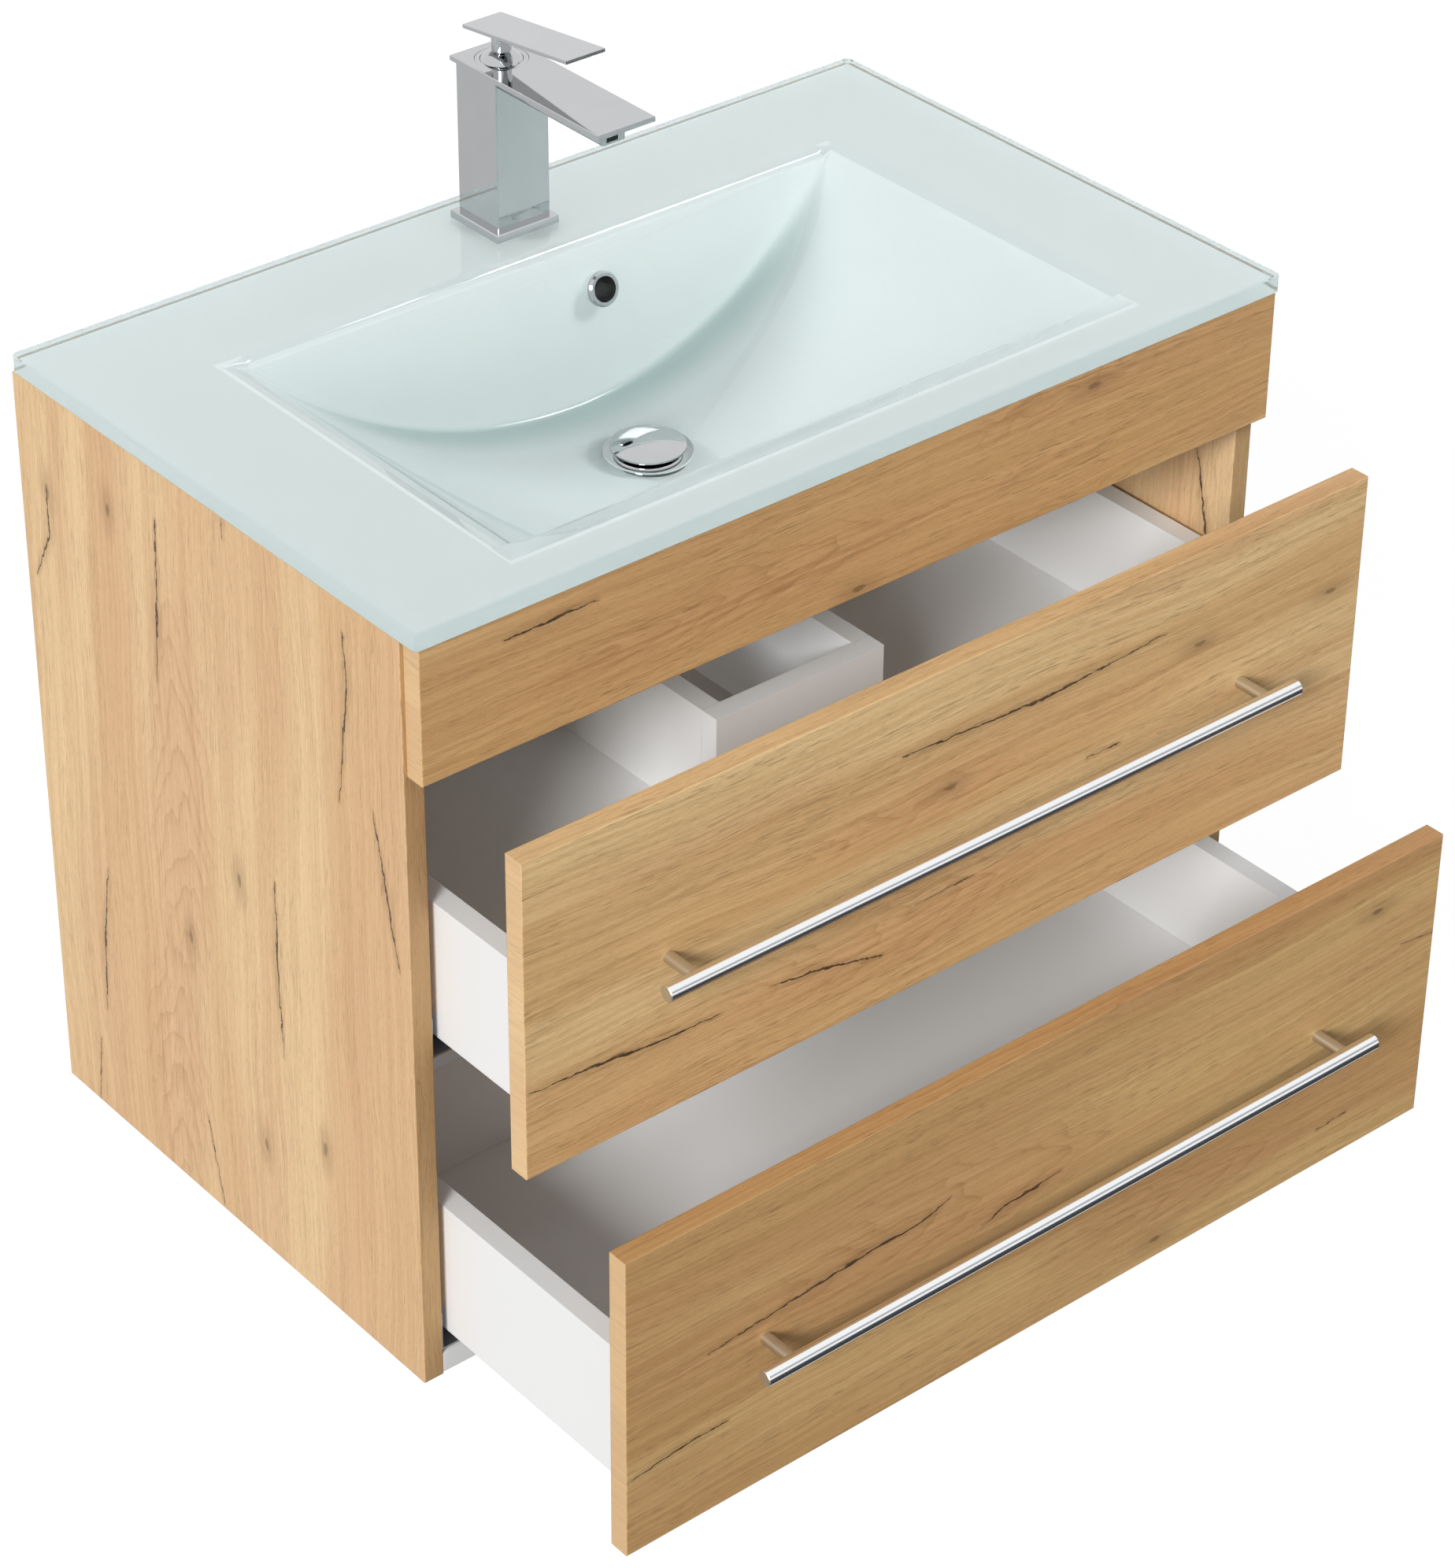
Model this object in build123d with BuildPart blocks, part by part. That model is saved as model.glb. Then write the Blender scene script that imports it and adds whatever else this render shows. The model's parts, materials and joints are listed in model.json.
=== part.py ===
from build123d import *
import os
from math import acos, cos, hypot, radians, sin, sqrt, tan

# Wall-hung washstand: a one-piece glass basin top on an oak cabinet with two drawers,
# a single-lever tap, a push-open waste and an overflow.
# Millimetres. X runs right, Y runs to the wall, Z runs up. The origin lies on the wall
# face, midway between the two wall bolts. The drawers stand open, as they are shown.

# Cabinet
width = 750.0
depth = 460.0
board = 16.0
carcass_height = 597.0
carcass_setback = 17.0
bottom_raise = 2.0
edge_round = 0.8
hanging_rail_height = 100.0
rear_rail_height = 120.0
wall_bolt_spacing = 600.0
wall_bolt_hole = 9.0

# Fronts
front_inset = 3.0
front_reveal = 3.4
apron_height = 100.4
drawer_front_height = 245.4
closed_gap = 1.0
upper_opened = 99.0
lower_opened = 199.0
bracket_leg = 30.0
bracket_sheet = 2.0

# Drawer boxes
drawer_side_gap = 6.7
drawer_side_height = 108.0
drawer_length = 342.0
drawer_raise = 33.5
trap_opening = 120.0
trap_setback = 154.0

# Runners
runner_inset = 2.0
runner_height = 13.0
runner_sheet = 1.5
runner_flange = 32.0
runner_foot = 46.0
track_offset = 32.0
track_width = 10.0
glide_length = 76.0
glide_wall = 2.9
glide_roof = 4.0
running_gap = 0.3

# Handles
bar_diameter = 12.0
bar_length = 565.0
bar_chamfer = 0.6
bar_standoff = 30.0
post_spacing = 512.0
post_diameter = 9.0
screw_diameter = 4.0
screw_grip = 12.0
screw_head_diameter = 8.0
screw_head_height = 2.5
thread_gap = 0.05
clearance_hole = 4.8

# Glass basin
glass = 14.0
glass_corner = 4.0
glass_edge = 1.2
trough_radius = 368.0
trough_depth = 113.0
flare_radius = 45.0
flare_rim_slope = 10.0
bowl_back = 107.0
bowl_front_margin = 51.0
back_wall_slope = 73.0
front_wall_slope = 76.0
crease_radius = 14.0
under_chamfer = 14.0
rim_radius = 9.0
tool_rise = 40.0
tool_run = 12.0

# Waste and overflow
waste_setback = 221.0
waste_hole = 43.0
waste_seat_drop = 4.0
waste_seat_diameter = 64.0
waste_spot_depth = 1.0
waste_tube_diameter = 41.9
waste_bore = 35.0
waste_tail = 74.0
tail_groove = 2.0
tail_groove_depth = 0.7
waste_lip_diameter = 49.0
waste_lip = 1.8
seal = 3.0
seal_lip = 1.0
collar_height = 24.0
collar_diameter = 58.0
nut_height = 8.0
nut_flats = 56.0
plug_diameter = 54.5
plug_rim = 1.6
plug_crown = 3.2
plug_lift = 4.7
plug_stem_diameter = 8.0
guide_drop = 30.0
guide_height = 8.0
guide_hub_diameter = 14.0
guide_leg = 3.0
guide_ring = 3.0
slip_gap = 0.2
overflow_offset = 40.0
overflow_drop = 40.0
overflow_hole = 22.0
overflow_ring_diameter = 26.0
overflow_ring_stand = 4.0
overflow_ring_bore = 19.0
overflow_sleeve_wall = 1.0
overflow_gasket = 2.0
elbow_diameter = 34.0
elbow_length = 20.0
nozzle_diameter = 16.0
nozzle_bore = 12.0
elbow_nozzle_length = 30.0
collar_nozzle_length = 18.0
pipe_wall = 1.8
pipe_overlap = 12.0
pipe_bend = 30.0

# Tap
tap_offset = 5.0
tap_setback = 52.4
tap_hole = 35.0
tap_base = 55.0
tap_base_height = 6.2
tap_column = 46.0
tap_edge = 0.8
tap_height = 126.3
spout_width = 50.0
spout_sheet = 4.0
spout_reach = 140.2
spout_overhang = 4.2
channel_width = 22.0
channel_depth = 15.0
channel_setback = 16.0
channel_round = 4.0
aerator_width = 10.0
aerator_height = 5.5
aerator_depth = 9.0
aerator_rise = 1.6
spigot_diameter = 32.8
spigot_length = 5.7
inlet_spread = 6.5
inlet_shift = 6.0
inlet_hole = 9.0
inlet_depth = 12.0
stud_shift = 10.5
stud_diameter = 8.0
stud_length = 68.0
stud_grip = 12.0
clamp_diameter = 50.0
clamp_plate = 2.5
clamp_slot = 24.0
clamp_slot_shift = 7.0
clamp_nut_flats = 13.0
clamp_nut_height = 6.5
ball_diameter = 36.0
ball_bore = 19.4
ball_bore_rise = 8.0
ball_rim_rise = 1.5
ball_drop = 9.6
trim_ring_diameter = 38.6
trim_ring_depth = 16.0
trim_lip = 5.5
cartridge_diameter = 35.0
cartridge_length = 32.0
cartridge_nut_height = 9.5
cartridge_nut_bore = 22.0
turret_height = 5.8
ear_gap = 8.0
ear_thickness = 4.0
ear_depth = 6.0
pivot_diameter = 4.0
pivot_gap = 0.05
lever_width = 34.0
lever_sheet = 3.0
lever_reach = 95.7
lever_back = 22.6
lever_rise = 35.1
lever_tilt = 7.0
lever_stem_diameter = 14.5

# Levels and faces that several pieces share
carcass_top = hanging_rail_height / 2
carcass_bottom = carcass_top - carcass_height
glass_top = carcass_top + glass
carcass_front = -(depth - carcass_setback)
inside_half = width / 2 - board
front_half = width / 2 - front_inset
box_half = inside_half - drawer_side_gap
box_inside = box_half - board
trap_half = trap_opening / 2
runner_length = drawer_length - 2 * runner_inset
apron_bottom = carcass_top - apron_height
upper_front_top = apron_bottom - front_reveal
lower_front_top = upper_front_top - drawer_front_height - front_reveal

os.makedirs("parts", exist_ok=True)


def finish(piece, node):
    piece.part.label = node
    export_step(piece.part, f"parts/{node}.step")


# A plain board between two opposite corners
def board_piece(node, low, high):
    with BuildPart() as piece:
        with Locations(tuple((a + b) / 2 for a, b in zip(low, high))):
            Box(*[b - a for a, b in zip(low, high)])
    finish(piece, node)


# A visible panel, with the sharp edges of one face eased
def eased_panel(node, low, high, face_axis):
    with BuildPart() as piece:
        with Locations(tuple((a + b) / 2 for a, b in zip(low, high))):
            Box(*[b - a for a, b in zip(low, high)])
        fillet(piece.faces().sort_by(face_axis)[0].edges(), edge_round)
    return piece


# Carcass: two side panels, a bottom, an apron under the glass and two rear rails
for side, name in ((-1, "left"), (1, "right")):
    inner, outer = sorted((side * inside_half, side * width / 2))
    side_panel = eased_panel(
        f"side_panel_{name}",
        (inner, carcass_front, carcass_bottom),
        (outer, 0, carcass_top),
        Axis.Y,
    )
    finish(side_panel, f"side_panel_{name}")

bottom_panel_low = carcass_bottom + bottom_raise
bottom_panel_top = bottom_panel_low + board
board_piece(
    "bottom_panel",
    (-inside_half, carcass_front, bottom_panel_low),
    (inside_half, 0, bottom_panel_top),
)
board_piece(
    "rear_rail",
    (-inside_half, -board, bottom_panel_top),
    (inside_half, 0, bottom_panel_top + rear_rail_height),
)
apron = eased_panel(
    "apron_panel",
    (-front_half, carcass_front - board, apron_bottom),
    (front_half, carcass_front, carcass_top),
    Axis.Y,
)
finish(apron, "apron_panel")

with BuildPart() as hanging_rail:
    with BuildSketch(Plane.XZ):
        Rectangle(2 * inside_half, hanging_rail_height)
        with GridLocations(wall_bolt_spacing, 0, 2, 1):
            Circle(wall_bolt_hole / 2, mode=Mode.SUBTRACT)
    extrude(amount=board)
finish(hanging_rail, "hanging_rail")

# Steel angles that hold the apron to the side panels
with BuildPart() as apron_brackets:
    with BuildSketch(Plane.XY.offset(carcass_top - apron_height / 2 - bracket_leg / 2)):
        with Locations((inside_half, carcass_front)):
            Rectangle(bracket_leg, bracket_sheet, align=(Align.MAX, Align.MIN))
            Rectangle(bracket_sheet, bracket_leg, align=(Align.MAX, Align.MIN))
    extrude(amount=bracket_leg)
    mirror(about=Plane.YZ)
finish(apron_brackets, "apron_brackets")


# The front, its handle and the screws that hold the handle from inside the drawer
def drawer_front(prefix, front_top, front_back):
    face = front_back - board
    middle = front_top - drawer_front_height / 2
    front = eased_panel(
        f"{prefix}_front",
        (-front_half, face, front_top - drawer_front_height),
        (front_half, front_back, front_top),
        Axis.Y,
    )
    with BuildPart() as drilled_front:
        add(front.part)
        with BuildSketch(Plane.XZ.offset(-front_back)):
            with Locations((0, middle)):
                with GridLocations(post_spacing, 0, 2, 1):
                    Circle(clearance_hole / 2)
        extrude(amount=board, mode=Mode.SUBTRACT)
    finish(drilled_front, f"{prefix}_front")

    with BuildPart() as handle_bar:
        with BuildSketch(Plane.YZ.offset(-bar_length / 2)):
            with Locations((face - bar_standoff, middle)):
                Circle(bar_diameter / 2)
        extrude(amount=bar_length)
        chamfer(handle_bar.edges().filter_by(GeomType.CIRCLE), bar_chamfer)
    finish(handle_bar, f"{prefix}_handle_bar")

    with BuildPart() as handle_posts:
        with BuildSketch(Plane.XZ.offset(-face)):
            with Locations((0, middle)):
                with GridLocations(post_spacing, 0, 2, 1):
                    Circle(post_diameter / 2)
        extrude(amount=bar_standoff)
        add(handle_bar.part, mode=Mode.SUBTRACT)
        with BuildSketch(Plane.XZ.offset(-face)):
            with Locations((0, middle)):
                with GridLocations(post_spacing, 0, 2, 1):
                    Circle(screw_diameter / 2 + thread_gap)
        extrude(amount=screw_grip + thread_gap, mode=Mode.SUBTRACT)
    finish(handle_posts, f"{prefix}_handle_posts")

    with BuildPart() as handle_screws:
        with BuildSketch(Plane.XZ.offset(-front_back)):
            with Locations((0, middle)):
                with GridLocations(post_spacing, 0, 2, 1):
                    Circle(screw_diameter / 2)
        extrude(amount=board + screw_grip)
        with BuildSketch(Plane.XZ.offset(-front_back)):
            with Locations((0, middle)):
                with GridLocations(post_spacing, 0, 2, 1):
                    Circle(screw_head_diameter / 2)
        extrude(amount=-screw_head_height)
        chamfer(handle_screws.faces().sort_by(Axis.Y)[-2:].edges(), screw_head_height / 3)
    finish(handle_screws, f"{prefix}_handle_screws")


# Concealed runners: a folded rail on each side panel, a nylon glide astride its track,
# and an inverted channel under the drawer that rides on the glide
def drawer_runners(prefix, front_back, box_bottom, opened):
    foot = box_bottom - runner_height
    track_top = box_bottom - runner_sheet - glide_roof - 2 * running_gap
    track = inside_half - track_offset
    track_half = track_width / 2
    glide_inner = track_half + running_gap
    glide_outer = glide_inner + glide_wall
    channel_inner = glide_outer + running_gap
    channel_outer = channel_inner + runner_sheet
    skirt_low = foot + 2 * runner_sheet

    with BuildPart() as cabinet_rails:
        with BuildSketch(Plane.XZ.offset(-(carcass_front + runner_inset))):
            with BuildLine():
                Polyline(
                    (inside_half, foot),
                    (inside_half, foot + runner_flange),
                    (inside_half - runner_sheet, foot + runner_flange),
                    (inside_half - runner_sheet, foot + runner_sheet),
                    (track + track_half, foot + runner_sheet),
                    (track + track_half, track_top),
                    (track - track_half, track_top),
                    (track - track_half, foot + runner_sheet),
                    (inside_half - runner_foot, foot + runner_sheet),
                    (inside_half - runner_foot, foot),
                    close=True,
                )
            make_face()
        extrude(amount=-runner_length)
        mirror(about=Plane.YZ)
    finish(cabinet_rails, f"{prefix}_cabinet_rails")

    with BuildPart() as drawer_rails:
        with BuildSketch(Plane.XZ.offset(-(front_back + runner_inset))):
            with Locations((track, box_bottom)):
                Rectangle(2 * channel_outer, box_bottom - skirt_low, align=(Align.CENTER, Align.MAX))
            with Locations((track, box_bottom - runner_sheet)):
                Rectangle(
                    2 * channel_inner,
                    box_bottom - skirt_low,
                    align=(Align.CENTER, Align.MAX),
                    mode=Mode.SUBTRACT,
                )
        extrude(amount=-runner_length)
        mirror(about=Plane.YZ)
    finish(drawer_rails, f"{prefix}_drawer_rails")

    glide_middle = carcass_front + runner_inset + (runner_length - opened) / 2
    with BuildPart() as glides:
        with BuildSketch(Plane.XZ.offset(-(glide_middle - glide_length / 2))):
            with Locations((track, box_bottom - runner_sheet - running_gap)):
                Rectangle(
                    2 * glide_outer,
                    box_bottom - runner_sheet - running_gap - skirt_low,
                    align=(Align.CENTER, Align.MAX),
                )
            with Locations((track, track_top + running_gap)):
                Rectangle(
                    2 * glide_inner,
                    box_bottom - skirt_low,
                    align=(Align.CENTER, Align.MAX),
                    mode=Mode.SUBTRACT,
                )
        extrude(amount=-glide_length)
        mirror(about=Plane.YZ)
    finish(glides, f"{prefix}_glides")


# Drawer sides, shared by both drawers
def drawer_sides(prefix, front_back, box_bottom):
    for side, name in ((-1, "left"), (1, "right")):
        inner, outer = sorted((side * box_inside, side * box_half))
        board_piece(
            f"{prefix}_side_{name}",
            (inner, front_back, box_bottom),
            (outer, front_back + drawer_length, box_bottom + drawer_side_height),
        )


# Upper drawer: its bottom is notched and boxed in so that it passes the waste trap
upper_back = carcass_front - closed_gap - upper_opened
upper_bottom = upper_front_top - drawer_front_height + drawer_raise
upper_floor = upper_bottom + board
upper_top = upper_bottom + drawer_side_height
upper_rear = upper_back + drawer_length
trap_front = upper_back + trap_setback

drawer_front("upper", upper_front_top, upper_back)
drawer_sides("upper", upper_back, upper_bottom)
drawer_runners("upper", upper_back, upper_bottom, upper_opened)

with BuildPart() as upper_bottom_panel:
    with BuildSketch(Plane.XY.offset(upper_bottom)):
        with Locations((0, upper_back)):
            Rectangle(2 * box_inside, drawer_length, align=(Align.CENTER, Align.MIN))
        with Locations((0, trap_front + board)):
            Rectangle(
                trap_opening,
                drawer_length,
                align=(Align.CENTER, Align.MIN),
                mode=Mode.SUBTRACT,
            )
    extrude(amount=board)
finish(upper_bottom_panel, "upper_bottom")

board_piece(
    "trap_wall_front",
    (-trap_half - board, trap_front, upper_floor),
    (trap_half + board, trap_front + board, upper_top),
)
for side, name in ((-1, "left"), (1, "right")):
    inner, outer = sorted((side * trap_half, side * (trap_half + board)))
    board_piece(
        f"trap_wall_{name}",
        (inner, trap_front + board, upper_floor),
        (outer, upper_rear, upper_top),
    )
    inner, outer = sorted((side * (trap_half + board), side * box_inside))
    board_piece(
        f"upper_back_{name}",
        (inner, upper_rear - board, upper_floor),
        (outer, upper_rear, upper_top),
    )

# Lower drawer: a plain box
lower_back = carcass_front - closed_gap - lower_opened
lower_bottom = lower_front_top - drawer_front_height + drawer_raise
lower_floor = lower_bottom + board
lower_rear = lower_back + drawer_length

drawer_front("lower", lower_front_top, lower_back)
drawer_sides("lower", lower_back, lower_bottom)
drawer_runners("lower", lower_back, lower_bottom, lower_opened)
board_piece(
    "lower_bottom",
    (-box_inside, lower_back, lower_bottom),
    (box_inside, lower_rear, lower_floor),
)
board_piece(
    "lower_back",
    (-box_inside, lower_rear - board, lower_floor),
    (box_inside, lower_rear, lower_bottom + drawer_side_height),
)

# Glass basin. The bowl is a trough: a round arc from left to right that flares out to the
# rim, closed by two steep flat walls at the back and the front.
trough_centre = glass_top - trough_depth + trough_radius
flare_sum = trough_radius + flare_radius
flare_start = acos((trough_centre - glass_top + flare_radius * cos(radians(flare_rim_slope))) / flare_sum)
flare_centre = (flare_sum * sin(flare_start), trough_centre - flare_sum * cos(flare_start))
flare_end = radians(flare_rim_slope) / 4
back_rim = -bowl_back
front_rim = -(depth - bowl_front_margin)


# A point of the trough where its surface rises at the given angle
def on_trough(angle):
    return (trough_radius * sin(angle), trough_centre - trough_radius * cos(angle))


# A point of the flare where its surface rises at the given angle
def on_flare(angle):
    return (flare_centre[0] - flare_radius * sin(angle), flare_centre[1] + flare_radius * cos(angle))


# The side outline of the bowl, set out from its walls by a thickness
def bowl_wedge(thickness, top_z):
    low = trough_depth + trough_radius
    back_lean = 1 / tan(radians(back_wall_slope))
    front_lean = 1 / tan(radians(front_wall_slope))
    back_at_top = back_rim + thickness / sin(radians(back_wall_slope))
    front_at_top = front_rim - thickness / sin(radians(front_wall_slope))
    rise = top_z - glass_top
    meet = (back_at_top - front_at_top) / (back_lean + front_lean)
    reach = min(low, 0.9 * meet)
    return (
        (back_at_top + rise * back_lean, top_z),
        (front_at_top - rise * front_lean, top_z),
        (front_at_top + reach * front_lean, glass_top - reach),
        (back_at_top - reach * back_lean, glass_top - reach),
    )


# The edges of a bowl's two flat walls that lie in the bowl, without those above a level
def crease_edges(bowl, level):
    walls = bowl.faces().filter_by(GeomType.PLANE).sort_by(Axis.Y)
    edges = walls[0].edges() + walls[-1].edges()
    return edges.filter_by(lambda edge: edge.center().Z < level)


bowl_middle = Plane.XZ.offset(-(back_rim + front_rim) / 2)
tool_top = glass_top + tool_rise
with BuildPart() as bowl_space:
    with BuildSketch(bowl_middle):
        flare_join = on_flare(flare_start)
        flare_mid = on_flare((flare_start + flare_end) / 2)
        flare_tip = on_flare(flare_end)
        lip = (flare_tip[0] + tool_run * cos(flare_end), flare_tip[1] + tool_run * sin(flare_end))
        with BuildLine():
            ThreePointArc(on_trough(0), on_trough(flare_start / 2), flare_join)
            ThreePointArc(flare_join, flare_mid, flare_tip)
            Polyline(flare_tip, lip, (lip[0], tool_top), (0, tool_top))
            mirror(about=Plane.YZ)
        make_face()
    extrude(amount=depth, both=True)
    with BuildSketch(Plane.YZ):
        with BuildLine():
            Polyline(*bowl_wedge(0, tool_top), close=True)
        make_face()
    extrude(amount=width, both=True, mode=Mode.INTERSECT)
    fillet(crease_edges(bowl_space, glass_top + tool_rise / 4), crease_radius)

# The outside of the bowl keeps one glass thickness from its inside
shell_top = glass_top - glass / 2
shell_radius = trough_radius + glass
shell_angle = acos((trough_centre - shell_top) / shell_radius)
shell_rim = (shell_radius * sin(shell_angle), shell_top)
with BuildPart() as bowl_shell:
    with BuildSketch(bowl_middle):
        with BuildLine():
            ThreePointArc(
                shell_rim,
                (0, trough_centre - shell_radius),
                (-shell_rim[0], shell_top),
            )
            Polyline(
                (-shell_rim[0], shell_top),
                (-shell_rim[0], tool_top),
                (shell_rim[0], tool_top),
                shell_rim,
            )
        make_face()
    extrude(amount=depth, both=True)
    with BuildSketch(Plane.YZ):
        with BuildLine():
            Polyline(*bowl_wedge(glass, tool_top), close=True)
        make_face()
    extrude(amount=width, both=True, mode=Mode.INTERSECT)
    chamfer(crease_edges(bowl_shell, shell_top), under_chamfer)
    split(bisect_by=Plane.XY.offset(shell_top), keep=Keep.BOTTOM)

# Where the waste and the overflow pass through the glass
waste_place = (0, -waste_setback)
floor_top = glass_top - trough_depth
seat_top = floor_top - waste_seat_drop
floor_under = floor_top - glass + waste_spot_depth
wall_lean = radians(back_wall_slope)
wall_normal = (0, -sin(wall_lean), cos(wall_lean))
overflow_place = (overflow_offset, back_rim - overflow_drop / tan(wall_lean), glass_top - overflow_drop)
overflow_plane = Plane(origin=overflow_place, x_dir=(1, 0, 0), z_dir=wall_normal)
tap_place = (tap_offset, -tap_setback)

with BuildPart() as glass_basin:
    with BuildSketch(Plane.XY.offset(carcass_top)):
        with Locations((0, -depth / 2)):
            RectangleRounded(width, depth, glass_corner)
    extrude(amount=glass)
    fillet(glass_basin.faces().sort_by(Axis.Z)[-1].edges(), glass_edge)
    add(bowl_shell.part)
    add(bowl_space.part, mode=Mode.SUBTRACT)
    fillet(glass_basin.faces().sort_by(Axis.Z)[-1].inner_wires()[0].edges(), rim_radius)
    with BuildSketch(Plane.XY.offset(seat_top)):
        with Locations(waste_place):
            Circle(waste_seat_diameter / 2)
    extrude(amount=waste_seat_drop + glass, mode=Mode.SUBTRACT)
    with BuildSketch(Plane.XY.offset(floor_under)):
        with Locations(waste_place):
            Circle(waste_seat_diameter / 2)
    extrude(amount=-glass, mode=Mode.SUBTRACT)
    with BuildSketch(Plane.XY.offset(seat_top)):
        with Locations(waste_place):
            Circle(waste_hole / 2)
    extrude(amount=glass, both=True, mode=Mode.SUBTRACT)
    with BuildSketch(overflow_plane):
        Circle(overflow_hole / 2)
    extrude(amount=2 * glass, both=True, mode=Mode.SUBTRACT)
    with BuildSketch(Plane.XY.offset(carcass_top)):
        with Locations(tap_place):
            Circle(tap_hole / 2)
    extrude(amount=glass, mode=Mode.SUBTRACT)
finish(glass_basin, "glass_basin")

# Waste: a lipped tube through the glass, sealed above and below and drawn down by a nut
tube_radius = waste_tube_diameter / 2
lip_under = seat_top + seal_lip
lip_top = lip_under + waste_lip
gasket_low = floor_under - seal
collar_low = gasket_low - collar_height
nut_low = collar_low - nut_height
tail_low = nut_low - waste_tail

with BuildPart() as waste_body:
    with BuildSketch(Plane.XY.offset(tail_low)):
        with Locations(waste_place):
            Circle(tube_radius)
    extrude(amount=lip_under - tail_low)
    with BuildSketch(Plane.XY.offset(nut_low)):
        with Locations(waste_place):
            Circle(tube_radius)
            Circle(tube_radius - tail_groove_depth, mode=Mode.SUBTRACT)
    extrude(amount=-tail_groove, mode=Mode.SUBTRACT)
    with BuildSketch(Plane.XY.offset(lip_under)):
        with Locations(waste_place):
            Circle(waste_lip_diameter / 2)
    extrude(amount=waste_lip)
    chamfer(waste_body.faces().sort_by(Axis.Z)[-1].edges(), waste_lip / 2)
    with BuildSketch(Plane.XY.offset(tail_low)):
        with Locations(waste_place):
            Circle(waste_bore / 2)
    extrude(amount=lip_top - tail_low, mode=Mode.SUBTRACT)
finish(waste_body, "waste_body")


# A flat ring about the waste's axis
def waste_ring(node, low, height, outer, inner):
    with BuildPart() as piece:
        with BuildSketch(Plane.XY.offset(low)):
            with Locations(waste_place):
                Circle(outer / 2)
                Circle(inner / 2, mode=Mode.SUBTRACT)
        extrude(amount=height)
    return piece


ring_bore = waste_tube_diameter + 2 * slip_gap
lip_seal = waste_ring("waste_lip_seal", seat_top, seal_lip, waste_lip_diameter, waste_hole)
finish(lip_seal, "waste_lip_seal")
under_seal = waste_ring("waste_gasket", gasket_low, seal, collar_diameter, ring_bore)
finish(under_seal, "waste_gasket")

with BuildPart() as waste_nut:
    with BuildSketch(Plane.XY.offset(nut_low)):
        with Locations(waste_place):
            RegularPolygon(nut_flats / 2, 6, major_radius=False)
            Circle(ring_bore / 2, mode=Mode.SUBTRACT)
    extrude(amount=nut_height)
    chamfer(waste_nut.faces().sort_by(Axis.Z)[0].outer_wire().edges(), nut_height / 8)
finish(waste_nut, "waste_nut")

# Spoked guide that is pressed into the tube and carries the plug's stem
with BuildPart() as waste_guide:
    guide_outer = waste_bore / 2 - slip_gap / 4
    with BuildSketch(Plane.XY.offset(lip_top - guide_drop)):
        with Locations(waste_place):
            Circle(guide_outer)
            Circle(guide_outer - guide_ring, mode=Mode.SUBTRACT)
            Circle(guide_hub_diameter / 2)
            with PolarLocations(0, 3, start_angle=90):
                Rectangle(guide_outer - guide_ring / 2, guide_leg, align=(Align.MIN, Align.CENTER))
            Circle(plug_stem_diameter / 2 + running_gap, mode=Mode.SUBTRACT)
    extrude(amount=guide_height)
finish(waste_guide, "waste_guide")

# Domed plug on its stem, raised to let the water out
plug_under = lip_top + plug_lift + slip_gap
plug_edge = plug_under + plug_rim
plug_radius = plug_diameter / 2
dome_radius = (plug_radius**2 + plug_crown**2) / (2 * plug_crown)
with BuildPart() as waste_plug:
    with BuildSketch(Plane.XZ.offset(waste_setback)):
        with BuildLine():
            Polyline((0, plug_under), (plug_radius, plug_under), (plug_radius, plug_edge))
            RadiusArc((0, plug_edge + plug_crown), (plug_radius, plug_edge), dome_radius)
            Line((0, plug_edge + plug_crown), (0, plug_under))
        make_face()
    revolve(axis=Axis((0, -waste_setback, 0), (0, 0, 1)))
    chamfer(waste_plug.faces().sort_by(Axis.Z)[0].edges(), plug_rim / 4)
    with BuildSketch(Plane.XY.offset(plug_under)):
        with Locations(waste_place):
            Circle(plug_stem_diameter / 2)
    extrude(amount=-(plug_lift + guide_drop))
finish(waste_plug, "waste_plug")

# Overflow: a trim ring screwed through the glass wall into an elbow behind it
sleeve_radius = overflow_ring_bore / 2 + overflow_sleeve_wall
sleeve_length = glass + overflow_gasket + elbow_length / 2
with BuildPart() as overflow_ring:
    with BuildSketch(overflow_plane):
        Circle(overflow_ring_diameter / 2)
    extrude(amount=overflow_ring_stand)
    chamfer(overflow_ring.edges().filter_by(GeomType.CIRCLE).sort_by(Axis.Y)[0], overflow_ring_stand / 3)
    with BuildSketch(overflow_plane):
        Circle(sleeve_radius)
    extrude(amount=-sleeve_length)
    with BuildSketch(overflow_plane.offset(overflow_ring_stand)):
        Circle(overflow_ring_bore / 2)
    extrude(amount=-(overflow_ring_stand + sleeve_length), mode=Mode.SUBTRACT)
finish(overflow_ring, "overflow_ring")

with BuildPart() as overflow_seal:
    with BuildSketch(overflow_plane.offset(-glass)):
        Circle(elbow_diameter / 2)
        Circle(sleeve_radius + slip_gap, mode=Mode.SUBTRACT)
    extrude(amount=-overflow_gasket)
finish(overflow_seal, "overflow_gasket")

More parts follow.
